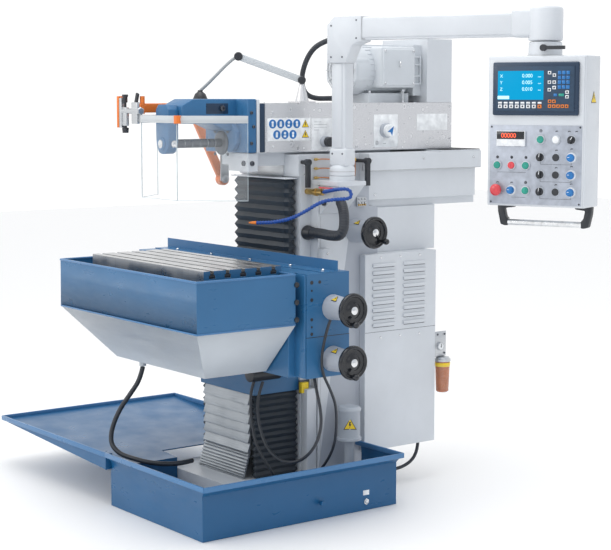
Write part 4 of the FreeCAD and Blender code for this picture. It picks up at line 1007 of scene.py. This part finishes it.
# Cabinet louvres. The thin dark strips under each one are painted shade in the openings; the long
# dark line is a panel seam.
vents = Piece("cabinet_louvres", ROOT, "white")
louvre_shade = Piece("cabinet_louvre_shade_and_seam", ROOT, "dark_steel")
LOUVRE_TOP, LOUVRE_PITCH, LOUVRES = 866, 28.4, 9
for side in (1, -1):
    vent, slit, seam = (sorted((side * a, side * b)) for a, b in (
        (260, 268.5), (261.6, 263), (261.7, 262.3)))
    for low, high in ((281, 394), (433, 546)):
        for k in range(LOUVRES):
            z = LOUVRE_TOP - LOUVRE_PITCH * k
            vents.box(vent, (low, high), (z - 7, z + 7), 4.2, segments=4)
            louvre_shade.box(slit, (low + 5, high - 5), (z - 9.4, z - 6.6), 0)
    louvre_shade.box(seam, (248, 599), (612, 613.4), 0)
vents.done()
louvre_shade.done()
pins = Piece("cabinet_screws", ROOT, "chrome")
for y in (323, 419, 516):
    for z in (591, 895):
        pins.turn((262, y, z), "x", [(0, 4.6), (1.6, 4.2), (2.2, 3)], 20)
pins.done()
frame_lines = Piece("column_panel_lines", ROOT, "putty")
frame_lines.box((230, 230.6), (60, 61.2), (120, 1060), 0)
frame_lines.box((190.2, 230.5), (301, 859), (1220, 1222), 0)
frame_lines.done()
block = Piece("column_side_block", ROOT, "white")
block.box((226, 262), (50, 88), (560, 943), 2)
block.box((184, 226), (2, 46), (110, 420), 2)
block.done()
small = Piece("column_fasteners", ROOT, "chrome")
for z in (590, 760, 925):
    small.screw((262, 69, z), "x", 4.5, 4)
for y, z in ((14, 1245), (14, 1215), (300, 1262), (560, 1262), (820, 1262), (330, 1130)):
    small.screw((190 if y < 100 else 230 if z > 1221 else 214, y, z), "x", 4.5, 4)
small.done()

brass = Piece("oil_line_fittings", ROOT, "brass")
pipes = []
for high_y, z in ((150, 1268), (150, 1234), (135, 1200)):
    brass.turn((182, 68, z), "y", [(0, 4), (4, 6), (12, 6), (14, 4), (20, 3.4)], HEX)
    pipes.append([(182, 84, z), (184, (72 + high_y) / 2, z + 1), (182, high_y, z - 2),
                  (176, high_y + 22, z - 4)])
for y in (262, 250):
    pipes.append([(178, y, 1262), (181, y + 1, 1240), (181, y - 1, 1214), (178, y, 1197)])
    brass.turn((180, y, 1258), "z", [(0, 5.5), (9, 5.5), (11, 3.5)], HEX)
for y in (232, 242, 252, 262):
    brass.turn((236, y, 1096), "x", [(0, 3.8), (7, 3.8), (9, 2.4)], HEX)
brass.done()
for index, route in enumerate(pipes):
    points = evenly(centreline("oil_line_%d" % index, route), 0.004)
    made = tube("oil_line_%d" % index, points, [0.0024] * len(points), "copper", 10)
    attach(made, ROOT)
manifold = Piece("oil_manifold", ROOT, "plate")
manifold.box((230.5, 240), (226, 268), (1090, 1126), 2)
for y in (234, 248, 262):
    for z in (1104, 1118):
        manifold.turn((240, y, z), "x", [(0, 4.4), (6, 4.4), (7, 3)], HEX)
manifold.done()
Piece("bracket_knob", ROOT, "black").turn(
    (262, 68, 1112), "-y", [(0, 5), (12, 5), (13, 10), (21, 10), (23, 7)], 24).done()
Piece("lower_conduit_collar", ROOT, "black").turn(
    (185, 30, 1000), "x", [(0, 25), (4, 27), (12, 27), (16, 24), (34, 23), (38, 21)], 48).done(40)
Piece("way_wiper_bar", ROOT, "plate").box((-100, 100), (-14, -9.5), (1206, 1284), 1.2).done()

warning("pump_caution", ROOT, (338.5, 116.5, 290), (0.82, -0.57, 0), 44)
Piece("coolant_pump_cap", ROOT, "pump").turn(
    (PUMP_X, PUMP_Y, 229), "z",
    [(0, 46), (8, 46), (10, 41), (106, 41), (110, 44), (118, 44), (126, 38), (130, 20)],
    56).done(40)

Piece("oil_reservoir_cup", ROOT, "oil").turn(
    (CUP_X, CUP_Y, 346), "z", [(0, 20), (4, 25), (112, 29), (122, 29)]).done()
Piece("oil_reservoir_glass", ROOT, "clear").turn(
    (CUP_X, CUP_Y, 345), "z", [(0, 22), (4, 26.5), (114, 30.2), (124, 30.2)]).done()
head = Piece("oil_pump_head", ROOT, "plate")
head.turn((CUP_X, CUP_Y, 468), "z", [(0, 32), (9, 32), (11, 28), (17, 26), (18, 20)])
head.box((222, 258), (604, 656), (486, 545), 4)
head.turn((236, 636, 545), "z", [(0, 14), (12, 12), (30, 11), (32, 8)], FINE)
head.box((205, 262), (600, 604), (490, 587), 1)
head.box((258, 262), (602, 656), (490, 587), 1)
head.turn((262, GAUGE_Y, GAUGE_Z), "x", [(0, 16), (11, 16), (12, 14), (10.4, 13.4)])
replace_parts(head.done(), "lubricator")
Piece("oil_gauge_face", ROOT, "sticker_white").turn(
    (272.2, GAUGE_Y, GAUGE_Z), "x", [(0, 13), (0.8, 13)]).done()
needle = Piece("oil_gauge_needle", ROOT, "black")
needle.box((273, 273.8), (621.2, 622.8), (524, 539), 0)
needle.turn((273, GAUGE_Y, GAUGE_Z), "x", [(0, 2.4), (1, 2.4)], 16)
needle.done()
Piece("oil_cup_band", ROOT, "yellow").turn(
    (CUP_X, CUP_Y, 448), "z", [(0, 29.6), (15, 30.6)]).done()
gauge_screws = Piece("oil_gauge_screws", ROOT, "dark_steel")
for y, z in ((648, 575), (612, 575), (648, 500)):
    gauge_screws.turn((262, y, z), "x", [(0, 4), (2, 4), (2.6, 3)], 20)
gauge_screws.done()

# ---- Ram ---------------------------------------------------------------------------

side = Piece("ram_side_screws", "ram", "chrome")
for y, z in ((-91, 1440), (-90, 1317), (668, 1337), (772, 1460), (774, 1335), (560, 1460),
             (340, 1460), (300, 1310)):
    side.screw((140, y, z), "x", 4.6, 3)
side.done()
labels = Piece("ram_side_labels", "ram", "sticker_white")
labels.box((139.8, 140.7), (-114, 81), (1337, 1420), 0.3)
labels.box((139.8, 140.9), (87, 187), (1300, 1418), 0.3)
labels.box((139.8, 140.9), (385, 504), (1305, 1430), 0.3)
labels.box((139.8, 140.7), (603, 760), (1367, 1431), 0.3)
labels.done()
discs_print = Piece("pictogram_discs", "ram", "sticker_blue")
spots = [(-91 + 36.5 * k, 1399) for k in range(4)] + [(-72 + 36.5 * k, 1360) for k in range(3)]
for y, z in spots:
    discs_print.turn((140.6, y, z), "x", [(0, 16.5), (0.5, 16.5)], FINE)
discs_print.done()
figures = Piece("pictogram_figures", "ram", "sticker_white")
for k, (y, z) in enumerate(spots):
    figures.turn((141.0, y, z + 5), "x", [(0, 5), (0.5, 5)], 20)
    top = z + (0, 2, -3)[k % 3]
    figures.box((141.0, 141.5), (y - 4 - k % 3, y + 4 + k % 2), (z - 10, top), 0)
figures.done()
for index, (y, z) in enumerate(((58, 1396), (58, 1358))):
    warning("ram_caution_%d" % index, "ram", (140.7, y, z), (1, 0, 0), 29)
prints = Piece("ram_print", "ram", "grey_key")
for k, wide in enumerate((34, 60, 60, 24)):
    prints.box((140.8, 141.2), (98, 98 + wide), (1404 - 10 * k, 1405.5 - 10 * k), 0)
prints.box((140.8, 141.2), (430, 446), (1318, 1320), 0)
prints.turn((140.7, 400, 1322), "x", [(0, 8), (0.5, 8), (0.5, 6.6), (0.2, 6.6)], 24)
prints.done()
for name, y, z, radius in (("gear_selector", 440, 1369, 27), ("range_selector", 147, 1331, 21)):
    knob = Piece(name + "_collar", name, "hub")
    knob.turn((140.9, y, z), "x", [(0, radius), (18, radius), (20, radius - 2), (20, radius - 4)],
              56)
    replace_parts(knob.done(40), name)
    tip = Piece(name + "_cap", name, "sticker_white" if "gear" in name else "black")
    tip.turn((158, y, z), "x", [(0, radius - 3), (20, radius - 3), (22, radius - 5), (22, 1)], 56)
    tip.done(40)
Piece("gear_selector_arrow", "gear_selector", "sticker_blue").prism(
    [(0, 20), (14, -15), (0, -8), (-14, -15)], 0.6,
    facing((180, 440, 1369), (1, 0, 0)) @ Matrix.Rotation(-0.6, 4, "Z"), 0).done()
slats = Piece("rear_way_slats", ROOT, "black")
for k in range(24):
    y = 662 + 8.2 * k
    slats.box((-226, 226), (y, y + 6), (1286.5, 1293.7 if k % 2 else 1291), 0.4)
slats.done()
Piece("ram_front_strip", "ram", "dark_blue").box(
    (138, 141.4), (-147, -126), (1297, 1473), 0.6).done()
Piece("ram_front_slotted_strip", "ram", "white").box(
    (136, 140.6), (-161, -148), (1297, 1488), 0.8).done()
lid_screws = Piece("ram_lid_screws", "ram", "chrome")
for x in (-128, 128):
    for y in (-120, 60, 240, 420, 600):
        lid_screws.turn((x, y, 1475), "z", [(0, 4.6), (1.4, 4.2), (2, 3)], 20)
lid_screws.done()

# ---- Motor -------------------------------------------------------------------------

body = Piece("motor_shell", "ram", "motor")
eight = [(101 * math.cos(a), 101 * math.sin(a))
         for a in (math.pi / 8 + math.pi / 4 * k for k in range(8))]
body.prism(eight, 66, facing((0, 400, MOTOR_Z), (0, -1, 0)), 6)
body.prism(eight, 34, facing((0, 648, MOTOR_Z), (0, -1, 0)), 5)
for k in range(28):
    angle = 2 * math.pi * k / 28
    spin = Matrix.Translation((0, 0, MOTOR_Z)) @ Matrix.Rotation(angle, 4, "Y")
    body.box((-1.5, 1.5), (405, 612), (92, 99.5), 0.6, spin)
body.box((60, 133), (426, 600), (1532, 1688), 9, segments=3)
body.box((126, 138), (434, 592), (1540, 1680), 5, segments=3)
body.done(35)
bolts = Piece("motor_bolts", "ram", "chrome")
for y, z in ((442, 1548), (442, 1672), (584, 1548), (584, 1672)):
    bolts.screw((138, y, z), "x", 5, 4)
for angle in (0.4, 1.2, 2.0, 2.8, 3.6, 4.4, 5.2, 6.0):
    bolts.turn((88 * math.cos(angle), 613, MOTOR_Z + 88 * math.sin(angle)), "-y",
               [(0, 6), (7, 6), (8, 4.6)], HEX)
for z in (1530, 1670):
    bolts.turn((86, 652, z), "-y", [(0, 9), (10, 9), (11, 7), (11, 5), (34, 5)], HEX)
for x in (-70, 70):
    for y in (420, 580):
        bolts.turn((x, y, 1512), "z", [(0, 8), (8, 8), (9, 6)], HEX)
bolts.done()
loop("motor_eyelet", "ram", "chrome", (143, 510, 1622), (0.3, 1, 0), 10, 2.6)
for k, radius in enumerate((26, 44, 62, 80)):
    loop("fan_guard_%d" % k, "ram", "plate", (0, 331, MOTOR_Z), (0, -1, 0), radius, 1.6)
guard = Piece("fan_guard_bars", "ram", "plate")
for k in range(12):
    spin = Matrix.Translation((0, 331, MOTOR_Z)) @ Matrix.Rotation(math.pi / 6 * k, 4, "Y")
    guard.box((-1.4, 1.4), (-1.4, 1.4), (12, 92), 0, spin)
guard.turn((0, 332, MOTOR_Z), "-y", [(0, 14), (3, 14)], FINE)
guard.done()
# A dark disc behind the fan guard: painted shade in the fan opening.
Piece("motor_fan_opening_shade", "ram", "dark_steel").turn(
    (0, 336, MOTOR_Z), "-y", [(0, 88), (1, 88)], 48).done()
window = Piece("motor_flange_bars", "ram", "motor")
for z in (1548, 1578, 1622, 1652):
    window.box((84, 108), (604, 650), (z - 4, z + 4), 2)
window.box((100, 110), (604, 611), (1544, 1656), 2)
window.box((100, 110), (643, 650), (1544, 1656), 2)
window.done()
Piece("motor_jack_bolt", "ram", "chrome").turn(
    (104, 560, 1476), "z", [(0, 9), (6, 9), (6, 5), (42, 5), (42, 9), (50, 9)], HEX).done()

# ---- Work lamp ---------------------------------------------------------------------

joint, elbow_at, head_at = Vector((100, 72, 1559)), Vector((-34, -121, 1646)), (-111, -240, 1520)
across = Vector((0.82, -0.57, 0))
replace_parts(Piece("lamp_flat_arm", "lamp_arm", "lamp_bright").box(
    (-6, (elbow_at - joint).length + 6), (-7, 7), (-13, 13), 3,
    axes(joint, elbow_at - joint, (0, 0, 1)), 3).done(), "lamp_arm")
discs = Piece("lamp_joints", "lamp_arm", "black")
for spot, radius in ((joint, 15), (elbow_at, 16)):
    discs.turn(spot - across * 10, facing((0, 0, 0), across), [(0, radius), (20, radius),
                                                               (23, radius - 3)], FINE)
discs.turn((head_at[0], head_at[1], 1446), "z", [(0, 31), (40, 29), (62, 20), (70, 10), (76, 9)])
discs.done()
stalk_points = evenly(centreline("lamp_stalk", [tuple(elbow_at), (-44, -137, 1642),
                                                (-98, -220, 1540), head_at]), 0.004)
stalk = tube("lamp_stalk", stalk_points, [0.006] * len(stalk_points), "lamp", 16)
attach(stalk, "lamp_arm")
Piece("lamp_glass", "lamp_arm", "milky").turn(
    (head_at[0], head_at[1], 1445.6), "z", [(0, 26), (1, 26)], FINE).done()
Piece("lamp_clevis", "ram", "lamp_bright").turn(
    (100, 72, 1474.5), "z", [(0, 37), (5, 37), (7, 27), (64, 11), (70, 11)], 4).done()

# ---- Spindle guard -----------------------------------------------------------------

CORNERS = [(-205, -371), (-90, -509), (150, -509), (310, -317)]
PANE_FOOT, PANE_TOP = 1137, 1407
rails = Piece("guard_rails", "guard_screen", "lamp_bright")
panes = Piece("guard_panes", "guard_screen", "clear")
# The light strips along the pane edges are painted highlight where the sheet edges catch the light.
borders = Piece("guard_pane_edges", "guard_screen", "pane_edge_highlight")
for start, end in zip(CORNERS, CORNERS[1:]):
    run = math.dist(start, end)
    place = axes((*start, 0), (end[0] - start[0], end[1] - start[1], 0), (0, 0, 1))
    rails.box((0, run), (0, 10), (1406, 1432), 1.2, place)
    rails.box((4, run - 4), (-1.6, 1), (1414, 1424), 0.4, place)
    panes.box((1, run - 1), (0.3, 3.3), (PANE_FOOT, PANE_TOP), 0.4, place)
    for x in ((0.2, 1.8), (run - 1.8, run - 0.2)):
        borders.box(x, (0.1, 3.5), (PANE_FOOT - 1, PANE_TOP), 0.3, place)
    borders.box((0, run), (0.1, 3.5), (PANE_FOOT - 1.4, PANE_FOOT + 0.4), 0.3, place)
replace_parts(rails.done(), "guard_screen")
panes.done()
borders.done()
Piece("guard_corner", "guard_screen", "orange").turn(
    (150, -505, 1405), "z", [(0, 13), (28, 13)], 8).done()
clamp = Piece("guard_clamp", "guard_screen", "plate")
clamp.box((-243, -226), (-510, -492), (1385, 1494), 2)
clamp.box((-232, -196), (-507, -494), (1392, 1460), 2)
clamp.box((-132, -98), (-500, -462), (1404, 1433), 2)
clamp.box((-160, -120), (-507, -494), (1400, 1478), 2)
clamp.turn((-236, -500, 1446), "x", [(0, 10), (128, 10), (130, 8)], 28)
clamp.turn((-112, -500, 1446), "x", [(0, 15), (8, 15), (10, 12)], HEX)
clamp.done(35)
Piece("guard_clamp_stripe", "guard_screen", "orange").box(
    (-258, -243), (-511, -491), (1385, 1500), 1.5).done()
hand = Piece("guard_clamp_knobs", "guard_screen", "black")
hand.turn((-214, -500, 1460), "z", [(0, 5), (16, 5), (17, 9), (36, 9), (40, 12), (46, 11)], 12)
hand.turn((-214, -500, 1392), "-z", [(0, 6), (6, 6), (8, 13), (26, 11)], 12)
hand.box((-8, 8), (-5, 5), (0, 52), 4, Matrix.Translation((-142, -500, 1462)) @
         Matrix.Rotation(0.35, 4, "Y"), 3)
hand.done()
arm = Piece("guard_upper_arm", "guard_arm", "orange")
start, end = Vector((*GUARD_ELBOW, 1457)), Vector((*GUARD_TIP, 1457))
arm.box((-16, (end - start).length + 16), (-5, 5), (-17, 17), 4,
        axes(start, end - start, (0, 0, 1)), 3)
arm.turn((*GUARD_ELBOW, 1436), "z", [(0, 17), (40, 17)], FINE)
arm.turn((*GUARD_TIP, 1436), "z", [(0, 9), (64, 9)], 24)
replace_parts(arm.done(), "guard_arm")
lower = Piece("guard_lower_arm", "ram", "orange")
start, end = Vector(GUARD_PIVOT), Vector((*GUARD_ELBOW, 1428))
lower.box((-18, (end - start).length + 8), (-9, 9), (-18, 18), 5,
          axes(start, end - start, (0, -1, 0.4)), 3)
lower.turn((-242, *GUARD_PIVOT[1:]), "x", [(0, 24), (24, 24), (28, 20)])
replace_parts(lower.done(), "guard_bracket")
mount = Piece("guard_mount_plate", "ram", "plate")
mount.box((-216, -210), (-84, -46), (1176, 1330), 2)
mount.box((-216, -140), (-84, -46), (1318, 1330), 2)
mount.turn((-214, *GUARD_PIVOT[1:]), "x", [(0, 15), (6, 15), (8, 12)], FINE)
mount.done()
Piece("guard_pivot_cap", "ram", "sticker_white").turn(
    (-213, *GUARD_PIVOT[1:]), "x", [(0, 13), (4, 13), (6, 10)], FINE).done()

# ---- Overarm and spindle nose ------------------------------------------------------

# A dark patch on the overarm's flat side: painted shade standing in for the bolt pocket.
Piece("overarm_pocket_shade", "ram", "dark_blue").box(
    (64, 66), (-330, -235), (1436, 1474), 1).done()
pocket = Piece("overarm_pocket_bolt", "ram", "dark_steel")
pocket.turn((66, -262, 1456), "x", [(0, 11), (9, 11), (10, 9), (10, 5), (5, 4.6)], HEX)
for y, z in ((-185, 1330), (-185, 1440), (-175, 1390)):
    pocket.screw((140, y, z), "x", 6, 5)
pocket.screw((100, -190, 1257), "-y", 10, 6)
pocket.screw((130, -176, 1257), "x", 9, 6)
pocket.done()
nose = Piece("spindle_nose_ring", "ram", "dark_steel")
nose.turn((0, -219, SPINDLE_Z), "-y", [(0, 44), (5, 44), (8, 40), (10, 36)], 64)
for k in range(4):
    angle = math.pi / 4 + math.pi / 2 * k
    nose.screw((58 * math.cos(angle), -220, SPINDLE_Z + 58 * math.sin(angle)), "-y", 6, 4)
nose.done()
support = Piece("arbor_support_casting", "arbor_support", "blue_cast")
hook = [(-43, 1452), (-27, 1470), (27, 1470), (43, 1452), (43, 1352), (38, 1322), (24, 1300),
        (8, 1294), (-8, 1294), (-24, 1300), (-38, 1322), (-43, 1352)]
support.prism(hook, 42, facing((0, -433, 0), (0, -1, 0)), 3)
support.turn((0, -475, SPINDLE_Z), "-y", [(0, 24), (4, 23), (6, 20)])
support.turn((0, -432.6, SPINDLE_Z), "y", [(0, 22), (0.6, 22)])
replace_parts(support.done(), "arbor_support")
arm_solid = Piece("overarm_casting", "ram", "blue_cast")
profile = [(384, 1490), (432, 1466), (432, 1412), (424, 1402), (300, 1400), (245, 1376),
           (200, 1372), (190, 1372), (190, 1490)]
side_view = Matrix(((0, 0, 1, -65), (-1, 0, 0, 0), (0, 1, 0, 0), (0, 0, 0, 1)))
arm_solid.prism(profile, 130, side_view, 5)
arm_solid.box((-140, 140), (-200, -161), (1295.5, 1490), 5, segments=3)
arm_solid.prism([(-62, 1402), (-92, 1372), (-92, 1328), (-62, 1300), (62, 1300), (92, 1328),
                 (92, 1372), (62, 1402)], 22, facing((0, -198, 0), (0, -1, 0)), 4)
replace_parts(arm_solid.done(), "overarm")
end_bolt = Piece("arbor_support_bolt", "arbor_support", "chrome")
end_bolt.turn((44, -452, SPINDLE_Z), "x", [(0, 13), (2, 13), (4, 10), (5, 1)], FINE)
end_bolt.turn((0, -480.5, SPINDLE_Z), "-y", [(0, 15), (3.5, 15), (4.3, 13)], FINE)
end_bolt.done()
collars = Piece("arbor_collar_finish", "spindle", "dark_steel")
for k in range(6):
    start = -222.3 - 33 * (k + 1)
    collars.turn((0, start + 0.4, SPINDLE_Z), "y", [(0, 14.8), (0.8, 15.9), (31.2, 15.9),
                                              (32, 14.8)])
collars.done()

warning("pendant_caution", "pendant_box", PENDANT @ Vector((176.4, -4, 1492)),
        PENDANT.to_3x3() @ Vector((1, 0, 0)), 40)


# ---- Floor, light and camera -------------------------------------------------------

floor_mesh = bpy.data.meshes.new("studio_floor")
floor_mesh.from_pydata([(-14, -14, -0.001), (14, -14, -0.001), (14, 14, -0.001),
                        (-14, 14, -0.001)], [], [(0, 1, 2, 3)])
floor = bpy.data.objects.new("studio_floor", floor_mesh)
scene.collection.objects.link(floor)
floor_mesh.materials.append(shader("pale_floor", (0.94, 0.94, 0.94), 0.6)[0])

world = bpy.data.worlds.new("studio")
scene.world = world
world.use_nodes = True
sky = world.node_tree
split = sky.nodes.new("ShaderNodeSeparateXYZ")
sky.links.new(sky.nodes.new("ShaderNodeTexCoord").outputs["Generated"], split.inputs["Vector"])
sky.links.new(tint(sky, spread(sky, split.outputs["X"], 0, 1, -0.1, 0.9), (1, 1, 1),
                   (0.60, 0.63, 0.68)), sky.nodes["Background"].inputs["Color"])
sky.nodes["Background"].inputs["Strength"].default_value = 1.12
scene.view_settings.view_transform = "Standard"


def softbox(name, at, aim, size, power):
    lamp = bpy.data.lights.new(name, "AREA")
    lamp.shape = "RECTANGLE"
    lamp.size, lamp.size_y = size
    lamp.energy = power
    made = bpy.data.objects.new(name, lamp)
    made.location = at
    made.rotation_euler = (Vector(aim) - Vector(at)).to_track_quat("-Z", "Y").to_euler()
    scene.collection.objects.link(made)


softbox("key_front", (-1.0, -6.0, 3.0), (0.1, -0.2, 0.8), (2.6, 2.6), 50)
softbox("fill_right", (5.5, -1.5, 3.2), (0.3, 0.0, 0.8), (3.0, 2.4), 14)
softbox("top", (0.4, -0.6, 4.6), (0.2, 0.0, 0.6), (3.0, 3.0), 60)

camera = bpy.data.cameras.new("camera")
camera.lens = 92.8
camera.sensor_width = 36.0
camera.dof.use_dof = False
camera.clip_start, camera.clip_end = 0.1, 60
viewer = bpy.data.objects.new("camera", camera)
viewer.location = (4.822, -3.446, 1.501)
yaw, tilt = math.radians(53.18), math.radians(6.49)
viewer.rotation_euler = (math.pi / 2 - tilt, 0, yaw)
scene.collection.objects.link(viewer)
scene.camera = viewer
